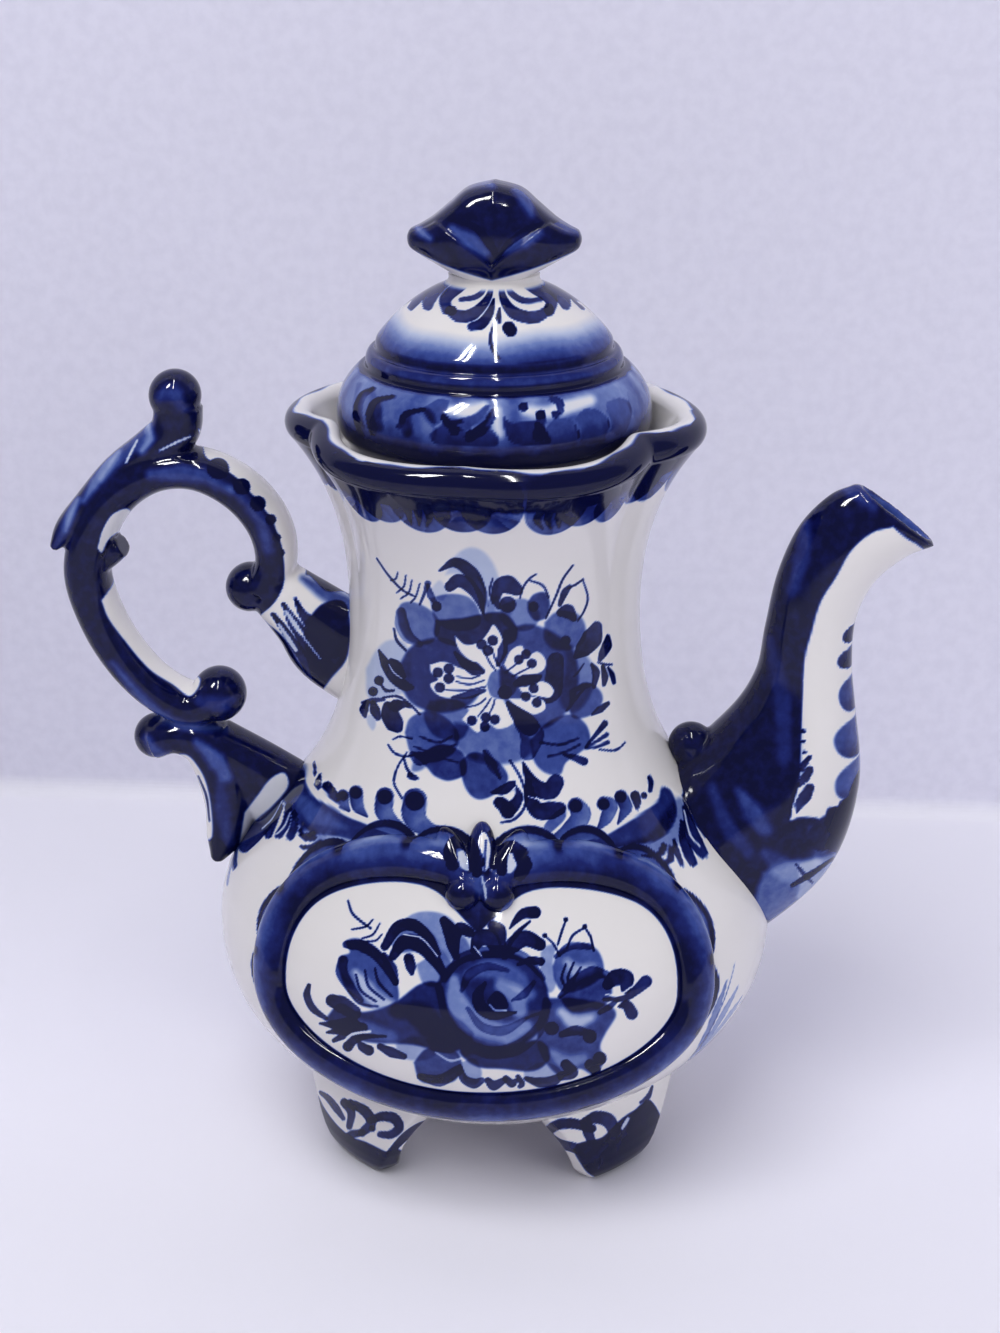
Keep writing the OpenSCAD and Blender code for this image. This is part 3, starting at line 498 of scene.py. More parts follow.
# the pot's painting
neckBouquet = [
    ("wash", 0.13, 5, 446, 574, 455, 556, 470, 547, 485, 552, 496, 568, 499, 585, 494, 612, 484, 618,
     478, 588, 462, 574), ("wash", 0.10, 4, 430, 590, 440, 580, 448, 592, 440, 600),
    ("wash", 0.13, 5, 366, 668, 376, 650, 388, 640, 404, 642, 412, 662, 405, 690, 385, 697, 368, 696),
    ("wash", 0.12, 3, 366, 716, 372, 714, 376, 722, 373, 730, 368, 724),
    ("wash", 0.20, 5, 488, 600, 500, 596, 512, 612, 500, 622, 486, 620),
    ("wash", 0.42, 3, 397, 612, 402, 603, 415, 602, 432, 611, 440, 625, 432, 642, 412, 642, 401, 630),
    ("right", 0.45, (5, 7, 6, 3), 401, 612, 402, 624, 408, 636, 420, 644),
    ("wash", 0.40, 3, 430, 598, 445, 594, 460, 594, 472, 599, 480, 612, 478, 626, 455, 630, 436, 620),
    ("wash", 0.32, 3, 500, 606, 520, 598, 534, 604, 540, 618, 528, 630, 506, 626),
    ("wash", 0.62, 3, 528, 602, 534, 594, 545, 592, 550, 602, 547, 616, 536, 620, 529, 612),
    ("wash", 0.45, 4, 545, 622, 556, 612, 575, 612, 585, 624, 583, 642, 560, 650, 545, 640),
    ("wash", 0.70, 5, 400, 664, 412, 646, 436, 638, 462, 646, 478, 664, 482, 684, 470, 704, 440, 712,
     414, 704, 402, 686),
    ("wash", 0.85, 4, 436, 620, 462, 618, 500, 612, 516, 626, 512, 642, 480, 648, 452, 644, 436, 636),
    ("wash", 0.58, 5, 505, 630, 530, 624, 556, 634, 574, 652, 578, 684, 566, 712, 540, 728, 512, 712,
     500, 680), ("wash", 0.35, 6, 565, 640, 590, 660, 592, 690, 575, 712, 560, 700, 566, 668),
    ("wash", 0.50, 3, 570, 690, 586, 682, 600, 690, 602, 702, 590, 715, 572, 716),
    ("wash", 0.40, 4, 430, 700, 460, 700, 470, 716, 462, 738, 436, 736, 424, 716),
    ("wash", 0.48, 3, 405, 732, 410, 718, 426, 711, 444, 716, 458, 732, 454, 752, 432, 762, 412, 754),
    ("wash", 0.66, 3, 418, 756, 440, 744, 462, 752, 466, 772, 450, 780, 436, 776, 428, 768),
    ("wash", 0.42, 6, 455, 722, 480, 726, 510, 722, 530, 738, 528, 756, 500, 764, 470, 758, 456, 744),
    ("wash", 0.60, 3, 459, 762, 474, 752, 496, 760, 508, 776, 500, 790, 480, 799, 466, 788),
    ("wash", 0.52, 3, 530, 740, 548, 722, 570, 714, 586, 724, 590, 742, 580, 752, 566, 762, 560, 774,
     545, 772, 534, 760), ("wash", 0.36, 4, 416, 752, 428, 756, 424, 768, 412, 770),
    ("leaf", 0.55, (4, 10, 8), 540, 700, 552, 690, 556, 660),
    ("leaf", 0.50, (6, 12, 8), 520, 722, 532, 734, 528, 752),
    ("leaf", 0.9, (1, 5, 6.5, 5, 1), 440, 570, 456, 562, 472, 573, 481, 590, 484, 614),
    ("leaf", 0.9, (5, 6.5, 6, 4.5, 1), 450, 586, 459, 580, 470, 586, 479, 598, 483, 612),
    ("line", 0.3, 0.7, 478, 577, 486, 590, 488, 606),
    ("leaf", 0.85, (6, 9, 7, 4, 2), 517, 589, 508, 584, 500, 586, 496, 598, 499, 607),
    ("line", 0.7, 1.0, 493, 578, 490, 590, 493, 603), ("round", 0.7, 8, 508, 604),
    ("round", 0.8, 4.5, 534, 606), ("leaf", 0.9, (4, 7, 3), 561, 612, 568, 611, 574, 618),
    ("line", 0.75, 1.0, 520, 598, 524, 586, 530, 578, 536, 574),
    ("line", 0.75, 1.0, 530, 580, 543, 585, 549, 597),
    ("line", 0.8, 1.1, 546, 618, 556, 596, 563, 579, 573, 565),
    ("leaf", 0.85, (2, 3.5, 2), 560, 604, 565, 592, 570, 586),
    ("line", 0.8, 1.1, 568, 588, 576, 584, 583, 579),
    ("line", 0.75, 1.0, 583, 579, 588, 597, 584, 611, 578, 620),
    ("line", 0.75, 1.0, 377, 558, 388, 574, 402, 589, 415, 596),
    ("line", 0.7, 0.9, 398, 572, 396, 578, 391, 580), ("line", 0.7, 0.9, 406, 575, 404, 586, 397, 592),
    ("line", 0.7, 0.9, 412, 580, 409, 592, 401, 598), ("line", 0.7, 0.9, 420, 583, 416, 596, 411, 602),
    ("leaf", 0.7, (1, 1.5, 3), 420, 604, 425, 592, 428, 583),
    ("leaf", 0.6, (1.5, 3.5, 1), 428, 584, 431, 595, 438, 606),
    ("line", 0.8, 1.3, 394, 628, 397, 640, 406, 650),
    ("leaf", 1.0, (1, 5, 6, 5, 2), 379, 650, 386, 664, 394, 676, 404, 685, 412, 687),
    ("leaf", 1.0, (2, 4.5, 2), 391, 660, 397, 665, 404, 676),
    ("line", -1, 0.8, 389, 664, 394, 672, 402, 678), ("round", 0.95, 4.6, 379, 680, 373, 691),
    ("line", 0.8, 1.4, 381, 684, 386, 690, 394, 690),
    ("line", 0.8, 1.1, 383, 697, 398, 696, 410, 704, 420, 714),
    ("leaf", 1.0, (2.5, 4.5, 1.5), 367, 702, 364, 709, 365, 716),
    ("leaf", 1.0, (3, 5, 3), 373, 703, 375, 710, 378, 717),
    ("leaf", 1.0, (5, 9, 9, 5), 388, 706, 390, 714, 394, 722, 398, 727),
    ("leaf", 1.0, (6, 3, 0.5), 396, 705, 404, 704, 411, 707),
    ("leaf", 0.8, (1, 2.5, 1.5), 362, 702, 372, 700, 384, 699),
    ("leaf", 1.0, (2, 8, 10, 5), 576, 656, 584, 648, 592, 638, 597, 626),
    ("leaf", 1.0, (2, 5, 4, 2), 608, 636, 607, 645, 603, 653, 600, 659),
    ("leaf", 0.9, (1.5, 4, 2), 592, 664, 596, 672, 594, 686),
    ("leaf", 1.0, (2, 3.4, 2), 603, 666, 605, 676, 604, 684),
    ("leaf", 1.0, (1, 2.6, 2), 608, 667, 612, 674, 614, 682),
    ("line", 0.8, 1.0, 598, 662, 606, 664, 612, 664), ("line", 0.7, 1.3, 586, 686, 576, 698, 567, 710),
    ("leaf", 0.9, (2, 3.5, 1), 608, 703, 600, 709, 592, 714),
    ("leaf", 0.7, (1, 3, 1), 575, 690, 583, 686, 592, 684),
    ("line", 0.6, 0.9, 584, 663, 578, 672, 574, 676),
    ("leaf", 0.85, (3, 2, 1), 605, 723, 596, 734, 586, 746),
    ("leaf", 0.7, (2, 1.6, 1), 607, 734, 598, 740, 586, 747),
    ("leaf", 0.7, (2, 1.6, 1), 608, 742, 598, 746, 586, 748),
    ("line", 0.75, 1.0, 599, 749, 613, 750, 620, 747, 625, 742),
    ("leaf", 0.8, (4, 3, 1), 584, 761, 574, 757, 564, 754),
    ("line", 0.7, 1.0, 393, 739, 400, 736, 412, 738),
    ("line", 0.75, 1.1, 388, 744, 394, 752, 404, 756, 416, 754),
    ("line", 0.75, 1.0, 407, 752, 398, 766, 394, 782, 402, 798),
    ("line", 0.8, 1.3, 404, 758, 407, 768, 412, 775),
    ("leaf", 0.85, (3, 3, 1), 410, 775, 414, 777, 418, 778),
    ("line", 0.45, 1.3, 420, 736, 438, 742, 452, 736), ("line", 0.45, 1.3, 414, 746, 434, 752, 456, 744),
    ("line", 0.45, 1.2, 424, 762, 440, 758, 458, 762),
    ("leaf", 0.5, (3, 7, 4), 412, 754, 420, 758, 432, 756),
    ("line", 0.5, 1.4, 540, 742, 560, 744, 578, 738), ("line", 0.45, 1.3, 548, 756, 564, 752, 580, 744),
    ("leaf", 0.35, (3, 5, 2), 486, 752, 492, 764, 500, 776),
    ("line", 0.55, 1.3, 484, 750, 492, 762, 500, 778),
    ("line", 0.7, 1.4, 510, 760, 520, 776, 526, 794, 524, 808, 514, 819, 502, 822),
    ("leaf", 1.0, (1, 4.5, 5, 2), 492, 792, 502, 790, 510, 786, 514, 782),
    ("leaf", 1.0, (6, 7, 6, 4, 1), 500, 802, 508, 808, 514, 805, 519, 796, 516, 786),
    ("round", 1.0, 7, 508, 811), ("line", -1, 0.8, 498, 796, 508, 794, 516, 786),
    ("leaf", 1.0, (1, 5, 8, 9, 8), 523, 762, 530, 778, 540, 789, 550, 790, 556, 782),
    ("leaf", 1.0, (3, 6, 8, 9, 6), 528, 782, 530, 798, 538, 810, 550, 810, 560, 808),
    ("line", -1, 0.8, 528, 796, 540, 799, 552, 800),
    ("wash", 0.45, 1.5, 565, 806, 566, 816, 558, 826, 542, 838, 545, 824, 556, 812),
    ("wash", -1, 1.4, 430, 664, 445, 661, 462, 668, 482, 671, 485, 688, 470, 696, 450, 698, 437, 694,
     430, 684, 438, 679, 431, 672),
    ("wash", -1, 1.4, 455, 635, 466, 644, 480, 641, 488, 632, 494, 624, 502, 636, 504, 648, 499, 663,
     490, 669, 478, 665, 464, 655, 457, 645),
    ("wash", -1, 1.4, 504, 664, 511, 650, 522, 645, 527, 655, 538, 651, 546, 660, 542, 671, 524, 676,
     511, 673), ("wash", -1, 1.4, 519, 687, 530, 683, 545, 681, 554, 689, 550, 697, 538, 696, 523, 692),
    ("wash", -1, 1.4, 508, 698, 520, 698, 532, 696, 544, 700, 545, 709, 533, 714, 518, 707),
    ("wash", -1, 1.4, 462, 719, 474, 706, 492, 700, 506, 704, 515, 716, 509, 726, 496, 728, 488, 721,
     478, 732, 468, 724),
    ("wash", 0.42, 2, 487, 684, 492, 672, 504, 669, 515, 676, 516, 690, 506, 698, 492, 696),
    ("leaf", 0.95, (1, 4, 6.5, 3), 455, 652, 464, 662, 474, 668, 482, 671),
    ("leaf", 0.9, (3, 6, 5, 2), 517, 683, 525, 680, 534, 679, 540, 676),
    ("leaf", 1.0, (2, 6, 9, 9), 508, 703, 516, 712, 524, 720, 530, 726),
    ("leaf", 0.8, (1, 4, 2), 452, 697, 470, 694, 484, 690),
    ("leaf", 0.75, (2, 5, 2), 498, 664, 503, 650, 505, 640), ("round", 0.9, 6.5, 505, 692),
    ("line", 0.7, 0.8, 457, 676, 470, 678, 480, 675), ("line", 0.7, 0.8, 456, 681, 470, 684, 484, 680),
    ("line", 0.7, 0.8, 446, 689, 466, 690, 486, 686), ("line", 0.7, 0.8, 484, 650, 490, 662, 496, 670),
    ("line", 0.7, 0.8, 492, 648, 496, 660, 502, 668), ("line", 0.7, 0.8, 520, 661, 512, 667, 506, 672),
    ("line", 0.7, 0.8, 530, 667, 520, 672, 513, 676), ("line", 0.7, 0.8, 466, 707, 478, 704, 486, 698),
    ("line", 0.7, 0.8, 478, 716, 486, 706, 491, 698), ("line", 0.7, 0.8, 489, 714, 493, 706, 495, 699),
    ("round", 0.85, 5, 438, 672, 449, 668, 449, 678, 440, 687),
    ("round", 0.85, 5, 482, 644, 488, 650, 493, 640), ("round", 0.85, 4.6, 519, 659, 526, 654, 532, 663),
    ("round", 0.85, 4.6, 534, 688, 526, 696, 537, 702),
    ("round", 0.85, 4.8, 472, 720, 486, 717, 495, 719, 485, 726), ("round", 0.8, 4.6, 437, 606, 566, 640)]

cartoucheBouquet = [
    ("wash", 0.30, 3, 398, 926, 412, 914, 430, 911, 448, 916, 462, 932, 472, 955, 455, 962, 440, 944,
     422, 930), ("wash", 0.30, 3, 416, 964, 432, 957, 445, 970, 440, 984, 424, 984),
    ("wash", 0.16, 4, 452, 940, 470, 938, 480, 956, 462, 960),
    ("wash", 0.26, 3, 541, 952, 548, 945, 556, 946, 553, 962, 556, 984, 549, 992, 541, 976),
    ("wash", 0.52, 3, 338, 966, 341, 956, 350, 952, 346, 941, 358, 938, 374, 946, 388, 960, 396, 978,
     398, 1000, 380, 1008, 360, 1004, 346, 988),
    ("glaze", -0.75, (3, 8, 8, 4), 356, 972, 366, 988, 378, 1000, 392, 1004),
    ("leaf", 0.7, (4, 6, 5, 3), 347, 944, 364, 946, 380, 958, 396, 982),
    ("leaf", 0.55, (5, 6, 5, 2), 343, 960, 342, 972, 350, 986, 362, 1000),
    ("line", 0.6, 1.3, 356, 974, 361, 990, 376, 1001), ("line", 0.6, 1.3, 365, 970, 369, 986, 384, 999),
    ("line", 0.6, 1.3, 375, 968, 379, 982, 392, 996), ("line", 0.45, 1.2, 348, 990, 360, 1003, 378, 1006),
    ("leaf", 0.8, (3, 5, 3), 384, 955, 392, 968, 396, 982),
    ("wash", 0.50, 3, 553, 966, 558, 953, 570, 945, 585, 943, 598, 950, 604, 966, 600, 978, 584, 988,
     565, 992, 556, 982), ("glaze", -0.6, (4, 7, 5), 568, 962, 576, 970, 590, 968),
    ("line", 0.65, 1.3, 566, 964, 562, 978, 568, 990), ("line", 0.65, 1.3, 574, 962, 568, 978, 572, 988),
    ("line", 0.65, 1.3, 581, 967, 574, 979, 576, 986),
    ("leaf", 0.5, (2, 4, 3), 556, 956, 570, 946, 590, 946),
    ("leaf", 0.6, (2, 5, 6, 4), 560, 996, 574, 982, 592, 972, 606, 974),
    ("wash", 0.62, 4, 560, 996, 580, 982, 604, 974, 612, 992, 600, 1008, 572, 1012),
    ("wash", 0.78, 4, 326, 1018, 340, 1004, 360, 1012, 392, 1004, 420, 984, 440, 984, 450, 1010, 474, 1034,
     450, 1052, 414, 1044, 372, 1042, 350, 1036, 334, 1030),
    ("wash", 0.62, 4, 544, 998, 574, 998, 606, 1004, 616, 1014, 606, 1032, 600, 1046, 604, 1060, 594, 1074,
     580, 1068, 564, 1076, 548, 1064, 538, 1040),
    ("wash", 0.60, 3, 414, 1062, 428, 1048, 454, 1050, 462, 1064, 455, 1080, 436, 1083, 420, 1080),
    ("wash", 0.22, 4, 396, 1044, 412, 1036, 434, 1040, 436, 1054, 418, 1060, 400, 1056),
    ("wash", 0.80, 4, 462, 1040, 500, 1048, 538, 1040, 550, 1056, 534, 1070, 500, 1068, 478, 1066,
     462, 1054),
    ("wash", 0.80, 4, 436, 986, 448, 966, 470, 955, 495, 950, 520, 956, 540, 972, 549, 1000, 541, 1028,
     518, 1046, 490, 1050, 464, 1040, 444, 1018),
    ("glaze", -0.62, (6, 12, 14, 13, 7), 454, 980, 458, 1004, 474, 1024, 500, 1034, 526, 1026),
    ("glaze", -0.42, (5, 10, 10, 6), 468, 974, 490, 968, 514, 976, 530, 994),
    ("glaze", -0.6, (6, 10, 8), 500, 985, 516, 996, 520, 1010),
    ("leaf", 0.5, (2, 5, 6, 5, 2), 444, 980, 462, 958, 495, 951, 524, 957, 544, 978),
    ("glaze", 0.45, (6, 12, 12, 8), 396, 1010, 420, 1014, 440, 1034, 466, 1048),
    ("leaf", 0.4, (3, 6, 7, 6, 3), 462, 1042, 488, 1052, 516, 1048, 538, 1030, 549, 1004),
    ("glaze", 0.30, (6, 8, 6), 448, 1024, 470, 1042, 500, 1048),
    ("leaf", 0.35, (2, 5, 4, 2), 462, 990, 470, 974, 488, 966, 508, 970),
    ("leaf", 0.30, (2, 4, 5, 2), 468, 1008, 482, 1026, 504, 1030, 526, 1018),
    ("line", 0.4, 1.4, 526, 1018, 536, 1014, 543, 1012),
    ("leaf", 0.95, (1.5, 5, 6, 4.5, 1), 485, 983, 478, 995, 482, 1008, 495, 1015, 516, 1012),
    ("leaf", 0.4, (1, 4, 2), 512, 1000, 524, 994, 534, 982),
    ("wash", 0.85, 2, 488, 1000, 496, 991, 504, 995, 508, 1006, 500, 1012, 491, 1008),
    ("line", -0.8, 1.6, 490, 1004, 496, 1010, 506, 1010),
    ("leaf", 0.95, (4, 6, 6, 4, 1.5), 385, 946, 398, 927, 414, 925, 430, 938, 440, 954),
    ("leaf", 0.95, (4, 7, 8, 6, 3), 393, 956, 404, 942, 420, 944, 434, 958, 446, 976),
    ("wash", 0.42, 4, 392, 944, 404, 930, 424, 926, 440, 944, 452, 964, 446, 982, 434, 966, 418, 952,
     400, 952), ("leaf", 1.0, (5, 5, 2), 409, 958, 411, 966, 412, 973),
    ("glaze", -0.4, (5, 9, 6), 346, 1024, 366, 1030, 392, 1036),
    ("glaze", -0.4, (5, 9, 6), 562, 1012, 576, 1020, 592, 1014),
    ("glaze", -0.45, (4, 8, 5), 552, 1052, 566, 1062, 584, 1058),
    ("line", -1, 1.0, 404, 934, 422, 938, 438, 956),
    ("leaf", 1.0, (4, 7, 5, 2), 444, 920, 450, 930, 452, 944, 455, 957),
    ("leaf", 1.0, (5, 6, 4, 1.5), 470, 932, 460, 928, 456, 940, 458, 957),
    ("leaf", 1.0, (3, 8, 8, 5), 474, 950, 480, 938, 490, 938, 497, 950),
    ("leaf", 0.95, (5, 6, 3, 1), 493, 925, 500, 930, 503, 943, 502, 955),
    ("leaf", 1.0, (6, 5, 3, 0.8), 535, 912, 524, 913, 516, 920, 510, 928),
    ("leaf", 0.95, (1, 2.4, 1), 530, 921, 516, 934, 505, 953),
    ("leaf", 1.0, (6, 8, 8, 3), 540, 944, 526, 938, 514, 944, 505, 956),
    ("leaf", 0.95, (4, 3.5, 1), 541, 961, 530, 960, 518, 964), ("line", -1, 1.0, 474, 946, 482, 956),
    ("line", 0.8, 1.2, 348, 900, 352, 912, 360, 920, 371, 928),
    ("line", 0.75, 1.0, 373, 919, 366, 926, 352, 929), ("line", 0.75, 1.0, 380, 923, 373, 934, 362, 938),
    ("line", 0.7, 1.0, 382, 934, 376, 940, 366, 941),
    ("leaf", 0.95, (2, 3.5, 3.5, 2), 309, 985, 307, 995, 313, 1008, 326, 1018),
    ("leaf", 0.95, (6, 8, 7), 332, 1000, 342, 1004, 354, 1012),
    ("leaf", 0.9, (1, 4, 6), 320, 1023, 334, 1024, 352, 1022),
    ("leaf", 0.9, (1, 4, 6), 327, 1032, 340, 1030, 356, 1026),
    ("leaf", 0.9, (2, 4, 6), 334, 1040, 346, 1034, 362, 1028),
    ("line", -0.95, 1.8, 343, 1043, 352, 1034, 370, 1031),
    ("leaf", 0.95, (5, 4, 2.5, 1), 348, 1046, 354, 1040, 366, 1036, 386, 1036),
    ("leaf", 0.95, (5, 4, 1), 369, 1050, 362, 1046, 358, 1040),
    ("leaf", 0.9, (3, 5, 3), 380, 1046, 392, 1052, 404, 1056),
    ("leaf", 0.5, (2, 5, 3), 396, 1008, 420, 1016, 444, 1032),
    ("line", 0.7, 1.0, 545, 935, 554, 944, 560, 956), ("line", 0.8, 1.2, 566, 920, 562, 931, 558, 944),
    ("round", 0.9, 2.2, 566, 919, 545, 935, 585, 926), ("line", 0.75, 1.2, 567, 948, 573, 935, 585, 927),
    ("line", 0.75, 1.2, 585, 927, 591, 937, 594, 950),
    ("leaf", 1.0, (5, 8, 8, 5), 608, 984, 616, 977, 626, 978, 626, 988),
    ("leaf", 0.9, (1.5, 3, 4.5, 6), 604, 999, 624, 998, 636, 990, 646, 981),
    ("line", -1, 1.0, 606, 994, 620, 994, 632, 986),
    ("leaf", 1.0, (1, 5, 6), 619, 1006, 627, 1005, 632, 1013),
    ("leaf", 0.7, (2, 3, 1), 600, 1012, 610, 1006, 618, 1000),
    ("glaze", -0.6, (4, 7, 4), 562, 1012, 574, 1022, 590, 1018),
    ("leaf", 0.7, (3, 5, 3), 562, 1034, 576, 1030, 592, 1034),
    ("round", 0.9, 6.5, 552, 1028, 590, 1036, 600, 1058),
    ("leaf", 0.9, (5, 6, 4), 566, 1064, 572, 1072, 562, 1076),
    ("leaf", 0.9, (5, 5, 2), 590, 1064, 596, 1070, 594, 1077),
    ("leaf", 0.6, (3, 6, 5), 420, 1076, 440, 1080, 458, 1070),
    ("line", -0.7, 1.4, 436, 1052, 450, 1060, 462, 1058),
    ("wash", 0.24, 2, 462, 1062, 474, 1058, 482, 1072, 476, 1084, 464, 1080),
    ("leaf", 0.8, (2, 4, 5, 3), 460, 1066, 464, 1078, 474, 1083, 482, 1080),
    ("leaf", 0.9, (3, 5, 3), 488, 1080, 494, 1085, 504, 1080),
    ("leaf", 0.9, (3, 4, 2), 506, 1078, 512, 1083, 516, 1080),
    ("leaf", 0.9, (2, 3, 2), 518, 1076, 522, 1083, 520, 1086),
    ("wash", 0.20, 2, 524, 1070, 542, 1062, 560, 1068, 560, 1080, 540, 1084, 526, 1080),
    ("leaf", 0.8, (2, 5, 5, 3), 526, 1078, 540, 1082, 554, 1080, 562, 1074)]

shoulderLeft = [
    ("wash", 0.74, 3, 284, 770, 302, 768, 306, 784, 314, 797, 330, 806, 346, 816, 366, 824, 398, 838,
     372, 844, 340, 836, 312, 832, 296, 820, 284, 800),
    ("wash", 0.42, 6, 266, 768, 290, 764, 306, 766, 300, 790, 284, 800, 274, 788),
    ("wash", 0.30, 7, 296, 822, 330, 826, 372, 834, 350, 846, 318, 842, 300, 834),
    ("leaf", 0.95, (4, 8, 8, 6), 282, 792, 268, 816, 254, 834, 244, 846),
    ("leaf", 0.9, (3, 5, 4), 280, 806, 272, 822, 268, 834),
    ("leaf", 0.9, (3, 4, 4), 288, 806, 286, 822, 279, 834),
    ("leaf", 0.9, (2, 4, 4), 294, 812, 294, 826, 290, 836),
    ("line", -0.9, 1.1, 282, 800, 272, 818, 262, 828), ("line", -0.9, 1.1, 290, 812, 284, 826, 276, 834),
    ("leaf", 0.9, (1.5, 3.5, 4.5), 300, 829, 304, 836, 312, 836),
    ("leaf", 0.9, (1, 3, 3), 300, 846, 311, 847, 321, 842),
    ("leaf", 0.6, (1, 3, 3, 1), 237, 844, 234, 856, 234, 864, 233, 869),
    ("line", 0.3, 1.2, 231, 862, 228, 876, 227, 884), ("line", 0.7, 1.6, 314, 762, 315, 774),
    ("leaf", 1.0, (1, 3.5, 3), 320, 774, 318, 782, 318, 786),
    ("leaf", 1.0, (5, 4.5, 4), 327, 786, 332, 792, 336, 798),
    ("comma", 0.62, (6, 5, 1.5), 343, 795, 344, 804, 349, 810),
    ("comma", 0.66, (7, 6, 1.2), 356, 792, 358, 806, 367, 816),
    ("comma", 0.58, (9, 9, 7, 1.2), 385, 796, 384, 810, 391, 820, 402, 823),
    ("comma", 0.58, (12, 12, 9, 1.2), 415, 800, 414, 814, 422, 825, 441, 829),
    ("glaze", -0.3, (6, 12, 8, 3), 300, 800, 322, 822, 350, 836, 374, 838)]

shoulderRight = [
    ("wash", 0.70, 3, 552, 856, 586, 840, 604, 836, 628, 822, 646, 810, 658, 800, 662, 787, 672, 792,
     676, 816, 660, 838, 624, 846, 590, 852, 560, 864),
    ("wash", 0.34, 7, 604, 846, 646, 836, 668, 806, 682, 798, 688, 826, 676, 846, 646, 860, 612, 858),
    ("leaf", 0.9, (2, 5.5, 7, 5), 684, 806, 690, 826, 696, 842, 703, 853),
    ("leaf", 0.95, (2, 4, 5, 4), 682, 822, 683, 838, 688, 852, 693, 862),
    ("leaf", 0.9, (1.5, 3, 2), 674, 840, 677, 852, 682, 864),
    ("leaf", 0.9, (2.5, 3.5, 1), 671, 848, 670, 859, 659, 863),
    ("leaf", 0.8, (3, 3, 1), 664, 846, 658, 855, 642, 855),
    ("leaf", 0.9, (2, 6, 6, 3), 690, 778, 688, 796, 696, 814, 706, 834),
    ("line", -0.9, 1.3, 684, 810, 690, 834, 700, 846),
    ("leaf", 1.0, (2, 2.5, 2), 649, 777, 651, 783, 650, 790), ("round", 0.95, 3, 644, 795),
    ("leaf", 1.0, (4.5, 4, 1.5), 635, 795, 637, 801, 637, 808),
    ("comma", 0.66, (6.5, 6.5, 4, 1), 621, 796, 626, 806, 623, 814, 618, 823),
    ("comma", 0.6, (7, 8, 6, 1), 604, 803, 610, 806, 606, 818, 597, 830),
    ("comma", 0.56, (8, 10, 9, 1), 576, 805, 581, 814, 572, 828, 546, 842)]

bellyPlant = [                # on the belly unrolled beside the frame
    ("leaf", 0.38, (1.5, 6, 7, 1.5), -190, 150, -190, 180, -184, 212, -170, 240),
    ("leaf", 0.30, (1.5, 7, 8, 1.5), -186, 148, -178, 176, -164, 202, -144, 222),
    ("leaf", 0.24, (1.5, 7, 8, 1.5), -182, 144, -168, 166, -148, 186, -124, 198),
    ("leaf", 0.20, (1.5, 6, 7, 1.5), -178, 138, -158, 150, -136, 160, -110, 166),
    ("leaf", 0.28, (1.5, 5, 6, 1.5), -176, 132, -156, 130, -138, 132, -116, 126),
    ("line", 0.32, 1.2, -196, 118, -192, 160, -178, 206, -154, 252),
    ("line", 0.22, 1.0, -188, 124, -166, 160, -136, 184, -100, 190)]

rimPetals = dict(count=30, depth=10.8, half=6.0, radius=42, reach=30)


def paintRim(angle, run):     # a band over the lip, and the petals that hang from it outside
    radius, half = rimPetals["radius"], rimPetals["half"]
    sheet = np.column_stack([(angle % (2 * math.pi)) * radius, run])
    coat = Coat(sheet)
    for k in range(-1, rimPetals["count"] + 1):
        sway = math.sin(k * 2.4) + 0.5 * math.sin(k * 5.1)
        middle = (k + 0.22 * sway) * 2 * math.pi * radius / rimPetals["count"]
        low = -rimPetals["depth"] - 1.3 * math.sin(k * 3.7)
        lean = 1 if math.cos(middle / radius) > 0 else -1
        stroke(coat, [(middle, 1), (middle + lean * 0.3, low * 0.5), (middle + lean * 1.6, low + half)],
               (half, half * 1.05, half * 0.9), (0.92, 0.6), 0.5 * lean, 0.5, pool=0.1)
        veins = (-2.4, -0.8, 0.9) if k % 3 == 0 else ()
        for step in veins:
            stroke(coat, [(middle + step, -2), (middle + step * 1.4, low * 0.6),
                          (middle + step * 1.1 + lean, low * 0.9)], (0.9, 0.8, 0.2), (0.7, 0.5), soft=0.4)
    x = sheet[:, 0]
    ragged = 0.7 * np.sin(x * 0.9) + 0.5 * np.sin(x * 2.3 + 1) + 0.3 * np.sin(x * 5.7)
    slow = 0.7 * np.sin(x * 0.17) + 0.4 * np.sin(x * 0.53 + 1)
    roll = ease((run + 5.4 + 0.3 * ragged) / 1.8) * ease((8.2 + slow - run) / 1.3)
    return coat.load * (run < 9) + roll * mix(0.75, 0.98, ease((run + 1) / 3))


def paintPot(spots, angle, run):
    turned = turnedToFront(spots)
    sheet = np.where(run[:, None] < 0, onCartoon(turned), -1e6)
    load = painted(sheet, neckBouquet + cartoucheBouquet + shoulderLeft + shoulderRight)
    toEye = (unit(eyeSpot - turned) * bellyNormal(turned)).sum(1)
    load *= ease(toEye / 0.15)
    unrolled = np.column_stack([np.arctan2(turned[:, 1], turned[:, 0]) * pot["bellyR"], turned[:, 2]])
    beside = painted(unrolled * cartoon["perMm"], bellyPlant)
    low, high = cartouche["zone"]
    framed = (spots[:, 2] > low) & (spots[:, 2] < high)
    load[framed] = np.maximum(load[framed], frameBand(*frameRuns(turned[framed])))
    load += beside * (load < 0.05)
    near = run > -rimPetals["reach"]
    load[near] += paintRim(angle[near], run[near])
    return load


